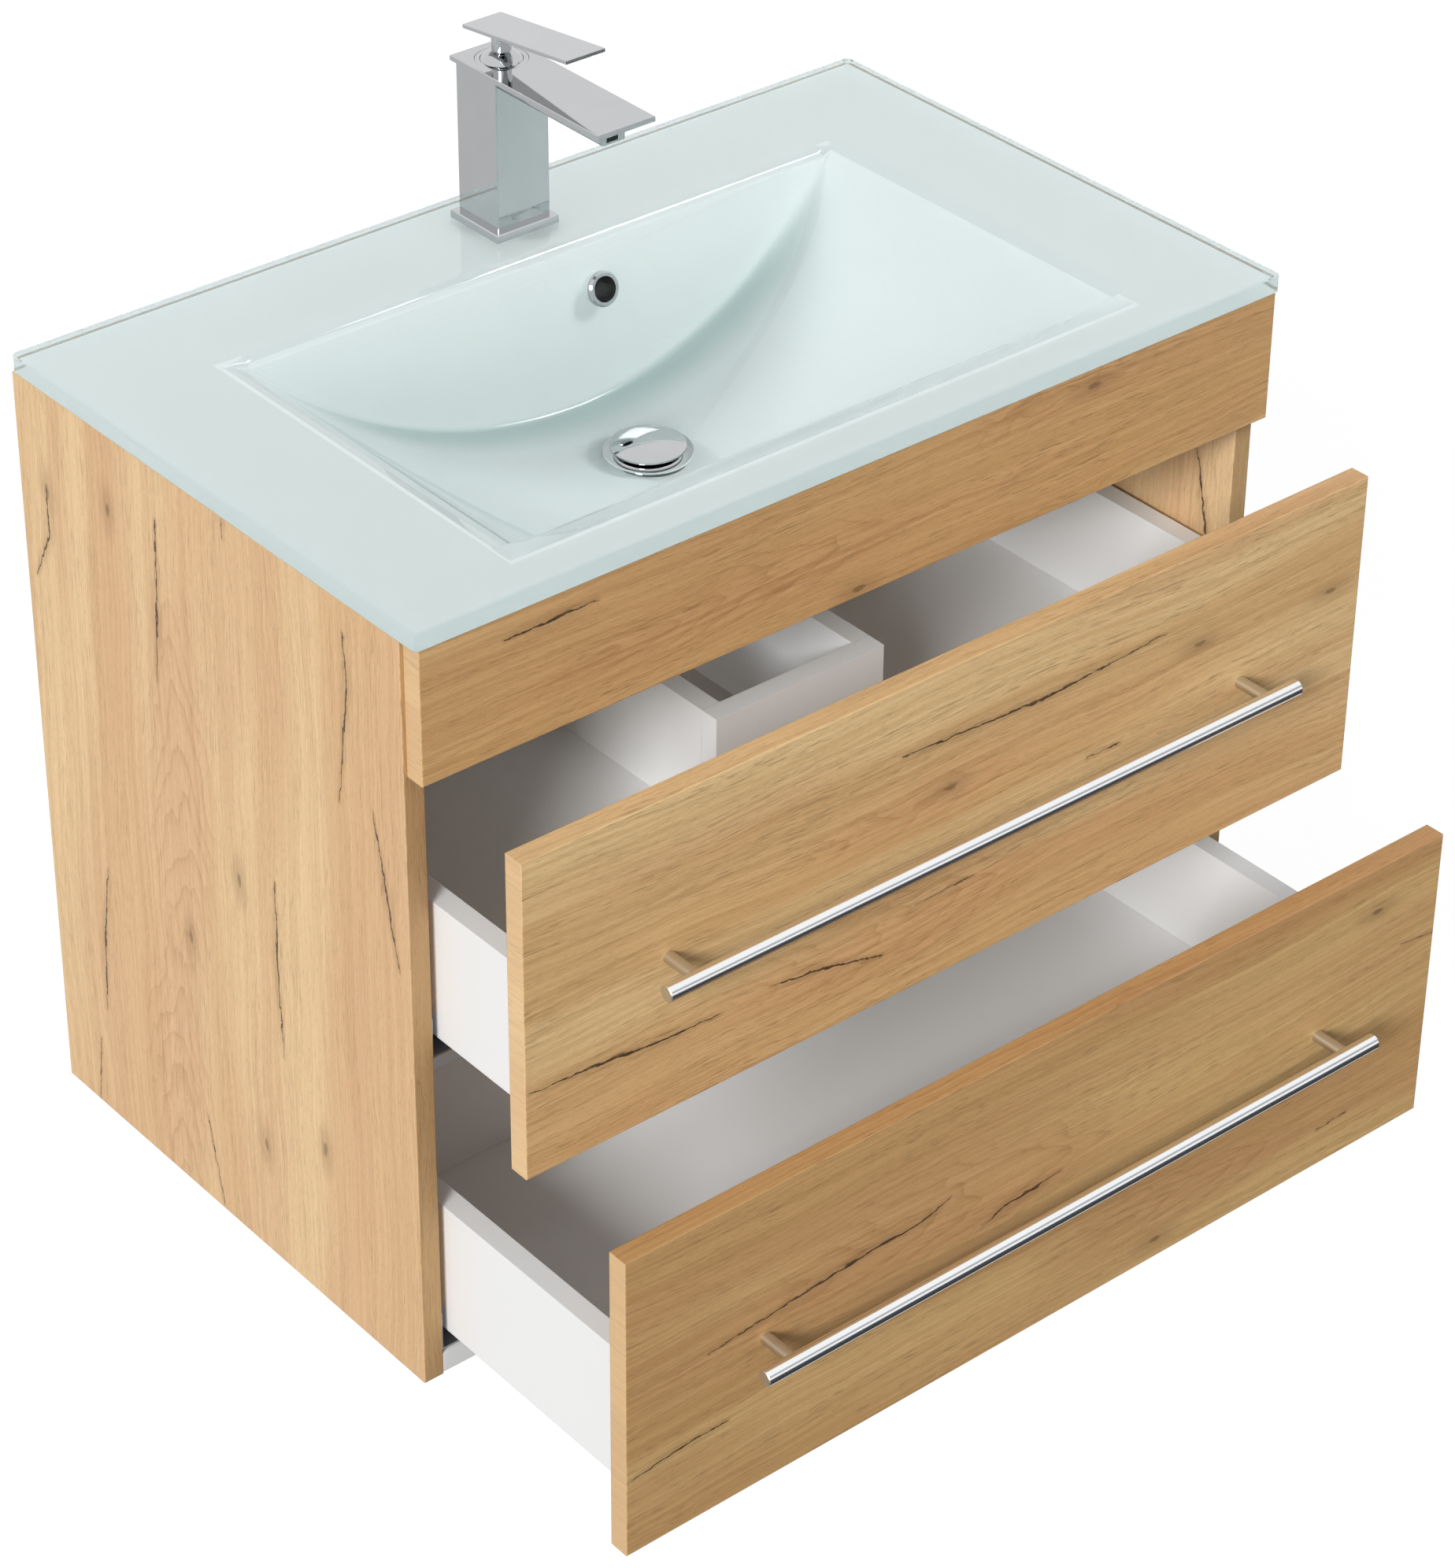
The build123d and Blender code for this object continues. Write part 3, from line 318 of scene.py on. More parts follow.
# the same, then where the layer starts and where it is full
oakGrain = {
    "zone": ((0.8, 14.0, 1.0), 1.0, 0.4, 0.43, 0.57),
    "warm": ((2.4, 32.0, 1.0), 2.0, 0.5, 0.42, 0.66),
    "lines": ((2.2, 260.0, 1.0), 3.0, 0.75, 0.30, 0.70),
    "crowd": ((6.0, 100.0, 1.0), 2.0, 0.5, 0.36, 0.62),
    "strokes": ((50.0, 1200.0, 1.0), 1.0, 0.5, 0.56, 0.67),
    "pores": ((160.0, 2500.0, 1.0), 1.0, 0.5, 0.57, 0.69),
    "smudge": ((8.0, 190.0, 1.0), 3.0, 0.6, 0.60, 0.80),
}

# how much of each mark shows
oakShares = {
    "warm": 0.55, "smudge": 0.26, "pores": 0.22, "figure": 0.60, "arch": 0.24,
    "halo": 0.28, "knotHalo": 0.35, "flecks": 0.55, "crack": 0.90, "knot": 0.50, "endBand": 0.55,
}

# sizes and sways in metres, and where a mark is full and gone, counted in its own widths
oakMarks = {
    "driftSway": 0.050, "wobbleSway": 0.006, "crackSway": 0.006, "archSway": 0.034, "archTip": 0.007,
    "crackWidth": 0.0013, "crackTip": 0.35, "knotLength": 0.0070, "knotWidth": 0.0026,
    "crackEdge": (0.45, 1.0), "crackHalo": (0.5, 8.0), "knotEdge": (0.45, 1.1), "knotHalo": (0.8, 5.0),
    "archRise": 4.0, "archEnd": 0.93, "figureFade": 0.20, "faceTurn": 0.8,
}

oakSkin = {
    "rough": 0.42, "roughSpread": 0.18, "gloss": 0.35,
    "bump": 0.25, "bumpDepth": 0.00025, "edgeRound": 0.0008,
}

# a figure: centre, reach along and across, width of a ring, how fast the arches close
oakBoards = {
    "oakSide": {
        "axes": (2, 1, 0), "seed": 0.3,
        "light": (0.800, 0.553, 0.303), "tan": (0.725, 0.462, 0.243), "warm": (0.700, 0.430, 0.235),
        "cracks": [
            [(0.0115, -0.1695), (-0.0642, -0.1644), (-0.1203, -0.1595)],
            [(0.0272, -0.3817), (-0.0112, -0.3843), (-0.1064, -0.3706)],
            [(-0.0948, -0.4074), (-0.1483, -0.4189), (-0.2072, -0.4304)],
            [(-0.2137, -0.2901), (-0.2791, -0.2878), (-0.3602, -0.2900)],
            [(-0.3204, -0.0754), (-0.3930, -0.0639), (-0.4530, -0.0600)],
            [(-0.4867, -0.0477), (-0.5461, -0.0397)],
            [(-0.4720, -0.1872), (-0.5430, -0.2026)],
            [(-0.0251, -0.0324), (-0.0646, -0.0322), (-0.1053, -0.0117)],
            [(0.0485, -0.2497), (0.0346, -0.2502)],
        ],
        "knots": [(-0.0078, -0.1107), (-0.2363, -0.2467), (-0.3206, -0.1808), (-0.4525, -0.2620),
                  (-0.4110, -0.3356), (-0.0294, -0.0338)],
        "strokes": 0.28, "streaks": 0.17, "paintedEdgeShade": (0.740, 0.715, 0.620),
        "figures": [((-0.20, -0.182), (0.20, 0.045), 0.0130, 0.36),
                    ((-0.45, -0.160), (0.16, 0.045), 0.0120, 0.30)],
    },
    "oakUpperFront": {
        "axes": (0, 2, 1), "seed": 1.7,
        "light": (0.842, 0.575, 0.280), "tan": (0.752, 0.473, 0.213), "warm": (0.733, 0.427, 0.195),
        "cracks": [
            [(-0.0594, -0.1070), (-0.0025, -0.1097), (0.0643, -0.1130), (0.1787, -0.1069)],
            [(0.1106, -0.1785), (0.1410, -0.1797)],
            [(-0.3690, -0.2311), (-0.3135, -0.2345), (-0.2620, -0.2404), (-0.2133, -0.2421)],
            [(-0.1693, -0.2408), (-0.1284, -0.2460), (-0.0727, -0.2600)],
            [(-0.0433, -0.2324), (0.0087, -0.2310)],
        ],
        "knots": [(-0.0161, -0.1489), (0.3429, -0.1355), (0.2136, -0.1284)],
        "strokes": 0.42, "streaks": 0.25, "paintedEdgeShade": (0.940, 0.890, 0.890),
        "figures": [((-0.06, -0.242), (0.17, 0.045), 0.0120, 0.24),
                    ((-0.05, -0.148), (0.12, 0.022), 0.0100, 0.18)],
    },
    "oakLowerFront": {
        "axes": (0, 2, 1), "seed": 3.1,
        "light": (0.690, 0.440, 0.185), "tan": (0.600, 0.350, 0.140), "warm": (0.610, 0.335, 0.145),
        "cracks": [
            [(-0.3711, -0.4851), (-0.3299, -0.4798), (-0.2869, -0.4787)],
            [(0.2655, -0.5148), (0.2955, -0.5132)],
            [(0.3384, -0.3829), (0.3726, -0.3875)],
            [(-0.3040, -0.4128), (-0.2162, -0.4048), (-0.1644, -0.4003),
             (-0.1201, -0.3995), (-0.0951, -0.3909)],
            [(-0.0647, -0.4323), (-0.0450, -0.4249), (-0.0161, -0.4234), (0.0072, -0.4203)],
        ],
        "knots": [(0.1039, -0.5317), (0.3090, -0.3413)],
        "strokes": 0.42, "streaks": 0.25, "paintedEdgeShade": (0.940, 0.890, 0.890),
        "figures": [((-0.10, -0.396), (0.20, 0.042), 0.0120, 0.22),
                    ((0.12, -0.500), (0.16, 0.035), 0.0110, 0.20)],
    },
    "oakApron": {
        "axes": (0, 2, 1), "seed": 4.6,
        "light": (0.755, 0.488, 0.220), "tan": (0.672, 0.405, 0.173), "warm": (0.660, 0.378, 0.170),
        "cracks": [[(-0.3066, 0.0321), (-0.2695, 0.0324), (-0.2325, 0.0330)]],
        "knots": [(-0.0119, -0.0440), (0.1981, 0.0363)],
        "strokes": 0.42, "streaks": 0.25, "paintedEdgeShade": (0.940, 0.890, 0.890),
        "figures": [((0.17, 0.034), (0.11, 0.024), 0.0080, 0.18),
                    ((-0.12, -0.005), (0.20, 0.035), 0.0110, 0.18)],
    },
}


def nearLine(tree, place, start, end, startWidth, endWidth):
    run = Vector(end) - Vector(start)
    offset = vecCalc(tree, "SUBTRACT", place, (*start, 0.0))
    dot = vecCalc(tree, "DOT_PRODUCT", offset, (*run, 0.0))
    share = calc(tree, "MULTIPLY", dot, 1.0 / run.length_squared, clamp=True)
    foot = vecCalc(tree, "SCALE", (*run, 0.0), scale=share)
    away = vecCalc(tree, "LENGTH", vecCalc(tree, "SUBTRACT", offset, foot))
    width = calc(tree, "MULTIPLY_ADD", share, endWidth - startWidth, startWidth)
    return calc(tree, "DIVIDE", away, width)


def crackField(tree, place, lines, width):
    least = None
    for line in lines:
        last = len(line) - 1
        for i in range(last):
            taper = [1.0 if 0 < k < last else oakMarks["crackTip"] for k in (i, i + 1)]
            found = nearLine(tree, place, line[i], line[i + 1], width * taper[0], width * taper[1])
            least = found if least is None else calc(tree, "MINIMUM", least, found)
    return least


def knotField(tree, place, spots, length, width):
    least = None
    for spot in spots:
        offset = vecCalc(tree, "SUBTRACT", place, (*spot, 0.0))
        scaled = vecCalc(tree, "MULTIPLY", offset, (1 / length, 1 / width, 0.0))
        found = vecCalc(tree, "LENGTH", scaled)
        least = found if least is None else calc(tree, "MINIMUM", least, found)
    return least


def oakMaterial(name):
    board = oakBoards[name]
    grainAxis, crossAxis, depthAxis = board["axes"]
    made, tree, shader = newMaterial(name)
    coord = addNode(tree, "ShaderNodeTexCoord")
    parts = addNode(tree, "ShaderNodeSeparateXYZ", Vector=coord.outputs["Object"])
    facing = addNode(tree, "ShaderNodeSeparateXYZ", Vector=coord.outputs["Normal"])

    def faces(axis):
        return calc(tree, "GREATER_THAN", calc(tree, "ABSOLUTE", facing.outputs[axis]), oakMarks["faceTurn"])

    def field(key, where):
        stretch, detail, rough = oakFields[key]
        return noise(tree, where, 1.0, detail, rough, stretch)

    def share(key, mark):
        return calc(tree, "MULTIPLY", mark, oakShares[key])

    endGrain = faces(grainAxis)
    across = calc(tree, "ADD", parts.outputs[crossAxis], parts.outputs[depthAxis])
    faceWay = addNode(tree, "ShaderNodeCombineXYZ", X=parts.outputs[grainAxis], Y=across, Z=board["seed"])
    edgeWay = addNode(tree, "ShaderNodeCombineXYZ", X=parts.outputs[depthAxis], Y=parts.outputs[crossAxis],
                      Z=board["seed"])
    way = addNode(tree, "ShaderNodeMix", {"data_type": "VECTOR"}, Factor=endGrain)
    plug(tree, way.inputs[4], faceWay.outputs[0])
    plug(tree, way.inputs[5], edgeWay.outputs[0])
    place = way.outputs[1]
    flat = addNode(tree, "ShaderNodeCombineXYZ", X=parts.outputs[grainAxis],
                   Y=parts.outputs[crossAxis], Z=0.0)

    # slow drift of the grain, then a finer wobble
    drift, wobble = field("drift", place), field("wobble", place)
    slow = calc(tree, "MULTIPLY", calc(tree, "SUBTRACT", drift, 0.5), oakMarks["driftSway"])
    quick = calc(tree, "MULTIPLY", calc(tree, "SUBTRACT", wobble, 0.5), oakMarks["wobbleSway"])
    move = calc(tree, "ADD", slow, quick)
    shift = addNode(tree, "ShaderNodeCombineXYZ", X=0.0, Y=move, Z=0.0)
    grain = vecCalc(tree, "ADD", place, shift.outputs[0])
    faceGrain = vecCalc(tree, "ADD", flat.outputs[0], shift.outputs[0])

    layers = {}
    for key, (stretch, detail, rough, low, high) in oakGrain.items():
        layers[key] = ramp(tree, noise(tree, grain, 1.0, detail, rough, stretch), low, high)
    strokes, pores = layers["strokes"], layers["pores"]
    fine = field("fine", grain)

    color = mixColor(tree, layers["zone"], board["light"], board["tan"])
    color = mixColor(tree, share("warm", layers["warm"]), color, board["warm"])
    streaks = board["streaks"]
    tone = calc(tree, "MULTIPLY_ADD", layers["lines"], streaks, 1.01 - streaks / 2)
    tone = calc(tree, "MULTIPLY", tone, calc(tree, "MULTIPLY_ADD", fine, streaks, 1.01 - streaks / 2))

    # arched figure where the board cuts the rings
    for centre, reach, ring, taper in board["figures"]:
        offset = vecCalc(tree, "SUBTRACT", faceGrain, (*centre, 0.0))
        off = addNode(tree, "ShaderNodeSeparateXYZ", Vector=offset)
        side = calc(tree, "MULTIPLY", off.outputs[1], off.outputs[1])
        side = calc(tree, "SQRT", calc(tree, "ADD", side, oakMarks["archTip"] ** 2))
        phase = calc(tree, "MULTIPLY_ADD", off.outputs[0], taper, side)
        phase = calc(tree, "ADD", phase, calc(tree, "MULTIPLY", wobble, oakMarks["archSway"]))
        wave = calc(tree, "FRACT", calc(tree, "MULTIPLY", phase, 1 / ring))
        nearA = calc(tree, "MULTIPLY", off.outputs[0], 1 / reach[0])
        nearB = calc(tree, "MULTIPLY", off.outputs[1], 1 / reach[1])
        near = calc(tree, "ADD", calc(tree, "MULTIPLY", nearA, nearA), calc(tree, "MULTIPLY", nearB, nearB))
        mask = ramp(tree, near, oakMarks["figureFade"], 1.0, (1.0, 0.0))
        rise = calc(tree, "POWER", wave, oakMarks["archRise"])
        fall = ramp(tree, wave, oakMarks["archEnd"], 1.0, (1.0, 0.0))
        arch = calc(tree, "MULTIPLY", rise, fall)
        color = mixColor(tree, share("figure", mask), color, board["warm"])
        tone = calc(tree, "SUBTRACT", tone, share("arch", calc(tree, "MULTIPLY", arch, mask)))

    # darker streaks are also redder
    tinted = addNode(tree, "ShaderNodeCombineColor", Red=calc(tree, "POWER", tone, 0.8), Green=tone,
                     Blue=calc(tree, "POWER", tone, 1.35))
    color = mixColor(tree, 1.0, color, tinted.outputs[0], "MULTIPLY")
    color = mixColor(tree, share("smudge", layers["smudge"]), color, oakTones["smudge"])
    crowded = calc(tree, "MULTIPLY", strokes, layers["crowd"])
    color = mixColor(tree, calc(tree, "MULTIPLY", crowded, board["strokes"]), color, oakTones["pore"])
    color = mixColor(tree, share("pores", pores), color, oakTones["pore"])

    # cracks with short dark strokes beside them, and knots, on the broad faces
    ragged = field("ragged", place)
    torn = calc(tree, "ADD", ragged, 0.5)
    bend = calc(tree, "MULTIPLY", calc(tree, "SUBTRACT", ragged, 0.5), oakMarks["crackSway"])
    bent = addNode(tree, "ShaderNodeCombineXYZ", X=0.0, Y=bend, Z=0.0)
    spot = vecCalc(tree, "ADD", flat.outputs[0], bent.outputs[0])
    split = crackField(tree, spot, board["cracks"], oakMarks["crackWidth"])
    line = ramp(tree, calc(tree, "MULTIPLY", split, torn), *oakMarks["crackEdge"], (1.0, 0.0))
    line = calc(tree, "MULTIPLY", line, ramp(tree, ragged, 0.30, 0.50, (0.70, 1.0)))
    around = ramp(tree, split, *oakMarks["crackHalo"], (1.0, 0.0))
    eye = knotField(tree, spot, board["knots"], oakMarks["knotLength"], oakMarks["knotWidth"])
    core = ramp(tree, calc(tree, "MULTIPLY", eye, torn), *oakMarks["knotEdge"], (1.0, 0.0))
    ring = ramp(tree, eye, *oakMarks["knotHalo"], (1.0, 0.0))
    soft = calc(tree, "MAXIMUM", share("halo", around), share("knotHalo", ring))
    flecks = share("flecks", calc(tree, "MULTIPLY", around, strokes))
    color = mixColor(tree, calc(tree, "MAXIMUM", soft, flecks), color, oakTones["halo"])
    dark = calc(tree, "MAXIMUM", line, share("knot", core))
    color = mixColor(tree, share("crack", dark), color, oakTones["crack"])
    color = mixColor(tree, share("endBand", endGrain), color, oakTones["band"])
    # painted shade: faces across the grain are darkened, i.e. the side boards' front and back edges and the
    # fronts' and apron's top and bottom faces
    color = mixColor(tree, faces(crossAxis), color, board["paintedEdgeShade"], "MULTIPLY")
    plug(tree, shader.inputs["Base Color"], color)

    sheen = calc(tree, "MULTIPLY_ADD", fine, oakSkin["roughSpread"], oakSkin["rough"])
    plug(tree, shader.inputs["Roughness"], sheen)
    shader.inputs["Specular IOR Level"].default_value = oakSkin["gloss"]
    cut = calc(tree, "ADD", calc(tree, "ADD", pores, strokes), calc(tree, "MULTIPLY", dark, 2.0))
    height = calc(tree, "SUBTRACT", calc(tree, "MULTIPLY", fine, 0.6), cut)
    bump = addNode(tree, "ShaderNodeBump", Strength=oakSkin["bump"], Distance=oakSkin["bumpDepth"],
                   Height=height, Normal=roundEdge(tree, oakSkin["edgeRound"]))
    plug(tree, shader.inputs["Normal"], bump.outputs[0])
    return made


oak = {name: oakMaterial(name) for name in oakBoards}
print("oak ready")


# white coated board

boardSet = {
    "white": (0.90, 0.90, 0.895), "shade": (0.885, 0.885, 0.88), "rough": 0.38, "roughSpread": 0.12,
    "cloudScale": 9.0, "skinScale": 700.0, "bump": 0.08, "bumpDepth": 0.0002, "edgeRound": 0.0008,
}


def boardMaterial():
    made, tree, shader = newMaterial("whiteBoard")
    place = objectPlace(tree)
    cloud = noise(tree, place, boardSet["cloudScale"], 3.0)
    skin = noise(tree, place, boardSet["skinScale"], 2.0)
    plug(tree, shader.inputs["Base Color"], mixColor(tree, cloud, boardSet["shade"], boardSet["white"]))
    sheen = calc(tree, "MULTIPLY_ADD", skin, boardSet["roughSpread"], boardSet["rough"])
    plug(tree, shader.inputs["Roughness"], sheen)
    bump = addNode(tree, "ShaderNodeBump", Strength=boardSet["bump"], Distance=boardSet["bumpDepth"],
                   Height=skin, Normal=roundEdge(tree, boardSet["edgeRound"]))
    plug(tree, shader.inputs["Normal"], bump.outputs[0])
    return made


# metals: colour, roughness and how far that varies

metalSet = {
    "chrome": ((0.56, 0.57, 0.58), 0.045, 0.05),
    "satinSteel": ((0.93, 0.935, 0.94), 0.14, 0.10),
    "endCap": ((0.69, 0.67, 0.61), 0.42, 0.10),
    "postMetal": ((0.66, 0.63, 0.55), 0.40, 0.10),
    "zincSteel": ((0.56, 0.57, 0.59), 0.34, 0.12),
    "brass": ((0.72, 0.55, 0.26), 0.26, 0.10),
}
metalSkin = {"cloudScale": 40.0, "cloudShade": 0.94, "bump": 0.03, "bumpDepth": 0.0001, "sawnTurn": 0.4}


def metalMaterial(name, stretch, endName=None):
    color, rough, spread = metalSet[name]
    made, tree, shader = newMaterial(name)
    place = objectPlace(tree)
    hair = noise(tree, place, 1.0, 2.0, 0.6, stretch)
    cloud = noise(tree, place, metalSkin["cloudScale"], 2.0)
    low = tuple(c * metalSkin["cloudShade"] for c in color)
    paint = mixColor(tree, cloud, low, color)
    sheen = calc(tree, "MULTIPLY_ADD", hair, spread * 0.6, rough - spread * 0.3)
    if endName:                                     # sawn ends, duller than the drawn skin
        normal = addNode(tree, "ShaderNodeTexCoord").outputs["Normal"]
        facing = addNode(tree, "ShaderNodeSeparateXYZ", Vector=normal)
        sawn = calc(tree, "GREATER_THAN", calc(tree, "ABSOLUTE", facing.outputs[0]), metalSkin["sawnTurn"])
        paint = mixColor(tree, sawn, paint, metalSet[endName][0])
        sheen = calc(tree, "MULTIPLY_ADD", sawn, metalSet[endName][1] - rough, sheen)
    plug(tree, shader.inputs["Base Color"], paint)
    plug(tree, shader.inputs["Roughness"], sheen)
    shader.inputs["Metallic"].default_value = 1.0
    bump = addNode(tree, "ShaderNodeBump", Strength=metalSkin["bump"], Distance=metalSkin["bumpDepth"],
                   Height=hair)
    plug(tree, shader.inputs["Normal"], bump.outputs[0])
    return made


# plastics and rubber: colour and roughness

plasticSet = {
    "nylon": ((0.82, 0.82, 0.80), 0.45),
    "palePlastic": ((0.84, 0.84, 0.82), 0.38),
    "darkPlastic": ((0.022, 0.022, 0.024), 0.40),
    "sealRubber": ((0.030, 0.030, 0.032), 0.70),
}
plasticSkin = {
    "cloudScale": 60.0, "cloudShade": 0.92, "skinScale": 1600.0, "roughSpread": 0.16,
    "bump": 0.10, "bumpDepth": 0.0002,
}


def plasticMaterial(name):
    color, rough = plasticSet[name]
    made, tree, shader = newMaterial(name)
    place = objectPlace(tree)
    cloud = noise(tree, place, plasticSkin["cloudScale"], 3.0)
    skin = noise(tree, place, plasticSkin["skinScale"], 2.0)
    low = tuple(c * plasticSkin["cloudShade"] for c in color)
    plug(tree, shader.inputs["Base Color"], mixColor(tree, cloud, low, color))
    spread = plasticSkin["roughSpread"]
    plug(tree, shader.inputs["Roughness"], calc(tree, "MULTIPLY_ADD", skin, spread, rough - spread / 2))
    bump = addNode(tree, "ShaderNodeBump", Strength=plasticSkin["bump"], Distance=plasticSkin["bumpDepth"],
                   Height=skin)
    plug(tree, shader.inputs["Normal"], bump.outputs[0])
    return made


whiteBoard = boardMaterial()
chrome = metalMaterial("chrome", (300.0, 300.0, 300.0))
satinSteel = metalMaterial("satinSteel", (40.0, 3000.0, 3000.0), "endCap")
postMetal = metalMaterial("postMetal", (900.0, 900.0, 900.0))
zincSteel = metalMaterial("zincSteel", (500.0, 60.0, 500.0))
brass = metalMaterial("brass", (600.0, 600.0, 600.0))
nylon = plasticMaterial("nylon")
palePlastic = plasticMaterial("palePlastic")
darkPlastic = plasticMaterial("darkPlastic")
sealRubber = plasticMaterial("sealRubber")
print("metals, boards and plastics ready")


# clear glass that lets the lamps through, a tinted one for the cut edges, and the white coat under it,
# painted lighter under the bowl than under the slab as painted light

glassSet = {
    "clear": (0.955, 0.985, 0.980),
    "edge": (0.880, 0.950, 0.945),
    # painted shade: colour and width of the dark line for the shaded gap under the slab's edge
    "gapShade": (0.300, 0.270, 0.220),
    "gapShadeWidth": 0.0013,
    "slabCoat": (0.750, 0.806, 0.802),
    # painted light: the same white coat, lighter under the bowl, whose walls get less light than the flat
    # slab
    "bowlCoatPaintedLight": (0.860, 0.915, 0.910),
    # painted shade for the bowl coat along the crease at the foot of the back wall
    "paintedCreaseShade": (0.480, 0.600, 0.585),
    "top": 0.064,
    "lift": 0.0001,
    "ior": 1.5,
    "smear": 0.010,
    "coatRough": 0.5,
    "coatSpread": 0.1,
    "coatGloss": 0.2,
    "creaseReach": (0.004, 0.034),
    "creaseStretch": (2.6, 0.75),
    "creaseDeep": (0.02, 0.10),
}

# one-piece basin: slab with a trough bowl, as a fine mesh over the CAD solid

basinSet = {
    "wide": 0.750, "deep": 0.460,
    "glass": 0.014, "corner": 0.004, "edge": 0.0012,
    "trough": 0.368, "depth": 0.113, "flare": 0.045, "flareSlope": 10.0,
    "back": -0.107, "front": -0.409, "backSlope": 73.0, "frontSlope": 76.0,
    "rim": 0.009, "crease": 0.006, "rimMargin": 0.002, "endColumn": 0.003, "sharpAngle": 18.0,
    "shellRim": 0.0008, "shellMargin": 0.004, "shellEnd": 0.002,
    "columns": 220, "arcSteps": 10, "wallSteps": 4, "floorSteps": 20,
    "waste": (0.0, -0.221), "wasteHole": 0.0430, "wasteSeat": 0.064, "seatDrop": 0.004,
    "overflow": (0.040, 0.040), "overflowHole": 0.022,
    "tap": (0.005, -0.0524), "tapHole": 0.035,
    "cutDeep": 0.03, "cutOver": 0.01, "cornerSteps": 6, "holeSteps": 72,
}


def glassMaterial(name, tint):
    made, tree, shader = newMaterial(name)
    place = objectPlace(tree)
    cloud = noise(tree, place, 14.0, 2.0)
    smear = noise(tree, place, 55.0, 3.0)
    low = tuple(c * 0.99 for c in tint)
    plug(tree, shader.inputs["Base Color"], mixColor(tree, cloud, low, tint))
    plug(tree, shader.inputs["Roughness"], calc(tree, "MULTIPLY", smear, glassSet["smear"]))
    shader.inputs["IOR"].default_value = glassSet["ior"]
    shader.inputs["Transmission Weight"].default_value = 1.0
    path = addNode(tree, "ShaderNodeLightPath")
    clear = addNode(tree, "ShaderNodeBsdfTransparent", Color=(*tint, 1))
    mix = addNode(tree, "ShaderNodeMixShader", Fac=path.outputs["Is Shadow Ray"])
    tree.links.new(shader.outputs[0], mix.inputs[1])
    tree.links.new(clear.outputs[0], mix.inputs[2])
    tree.links.new(mix.outputs[0], tree.nodes["Material Output"].inputs["Surface"])
    return made


def coatMaterial(name, crease):
    made, tree, shader = newMaterial(name)
    place = objectPlace(tree)
    cloud = noise(tree, place, 25.0, 3.0)
    tint = glassSet[name]
    low = tuple(c * 0.985 for c in tint)
    color = mixColor(tree, cloud, low, tint)
    parts = addNode(tree, "ShaderNodeSeparateXYZ", Vector=place)
    if crease:
        # painted shade: the coat is darkened along the foot of the back wall, where the crease lies in shade
        big = basinSet["trough"] + basinSet["glass"]
        lean = radians(basinSet["backSlope"])
        centre = glassSet["top"] - basinSet["depth"] + basinSet["trough"]
        rise = calc(tree, "SUBTRACT", parts.outputs[2], centre)
        squares = calc(tree, "ADD", calc(tree, "MULTIPLY", parts.outputs[0], parts.outputs[0]),
                       calc(tree, "MULTIPLY", rise, rise))
        ring = calc(tree, "SQRT", squares)
        above = calc(tree, "ABSOLUTE", calc(tree, "SUBTRACT", ring, big))
        drop = calc(tree, "SUBTRACT", glassSet["top"], parts.outputs[2])
        wall = calc(tree, "MULTIPLY_ADD", drop, -1 / tan(lean), basinSet["back"])
        gap = calc(tree, "SUBTRACT", wall, parts.outputs[1])
        ahead = calc(tree, "MULTIPLY_ADD", gap, sin(lean), basinSet["glass"])
        floorShare, wallShare = glassSet["creaseStretch"]
        away = calc(tree, "MAXIMUM", calc(tree, "MULTIPLY", above, floorShare),
                    calc(tree, "MULTIPLY", calc(tree, "ABSOLUTE", ahead), wallShare))
        mask = calc(tree, "MULTIPLY", ramp(tree, away, *glassSet["creaseReach"], (1.0, 0.0)),
                    ramp(tree, drop, *glassSet["creaseDeep"]))
        color = mixColor(tree, mask, color, glassSet["paintedCreaseShade"])
    else:
        # painted shade: a thin dark line round the outer border of the slab's coat, for the shaded gap under
        # the slab's edge
        half, reach = basinSet["wide"] / 2, basinSet["deep"] / 2
        aside = calc(tree, "SUBTRACT", calc(tree, "ABSOLUTE", parts.outputs[0]), half)
        fromMiddle = calc(tree, "ABSOLUTE", calc(tree, "ADD", parts.outputs[1], reach))
        out = calc(tree, "MAXIMUM", aside, calc(tree, "SUBTRACT", fromMiddle, reach))
        inGapShade = calc(tree, "GREATER_THAN", out, -glassSet["gapShadeWidth"])
        color = mixColor(tree, inGapShade, color, glassSet["gapShade"])
    plug(tree, shader.inputs["Base Color"], color)
    sheen = calc(tree, "MULTIPLY_ADD", cloud, glassSet["coatSpread"], glassSet["coatRough"])
    plug(tree, shader.inputs["Roughness"], sheen)
    shader.inputs["Specular IOR Level"].default_value = glassSet["coatGloss"]
    return made


clearGlass = glassMaterial("clearGlass", glassSet["clear"])
edgeGlass = glassMaterial("edgeGlass", glassSet["edge"])
slabCoat = coatMaterial("slabCoat", False)
bowlCoatPaintedLight = coatMaterial("bowlCoatPaintedLight", True)
print("glass ready")


# the basin's mesh: bowl, shell under it, slab edge and flat fills, then the holes

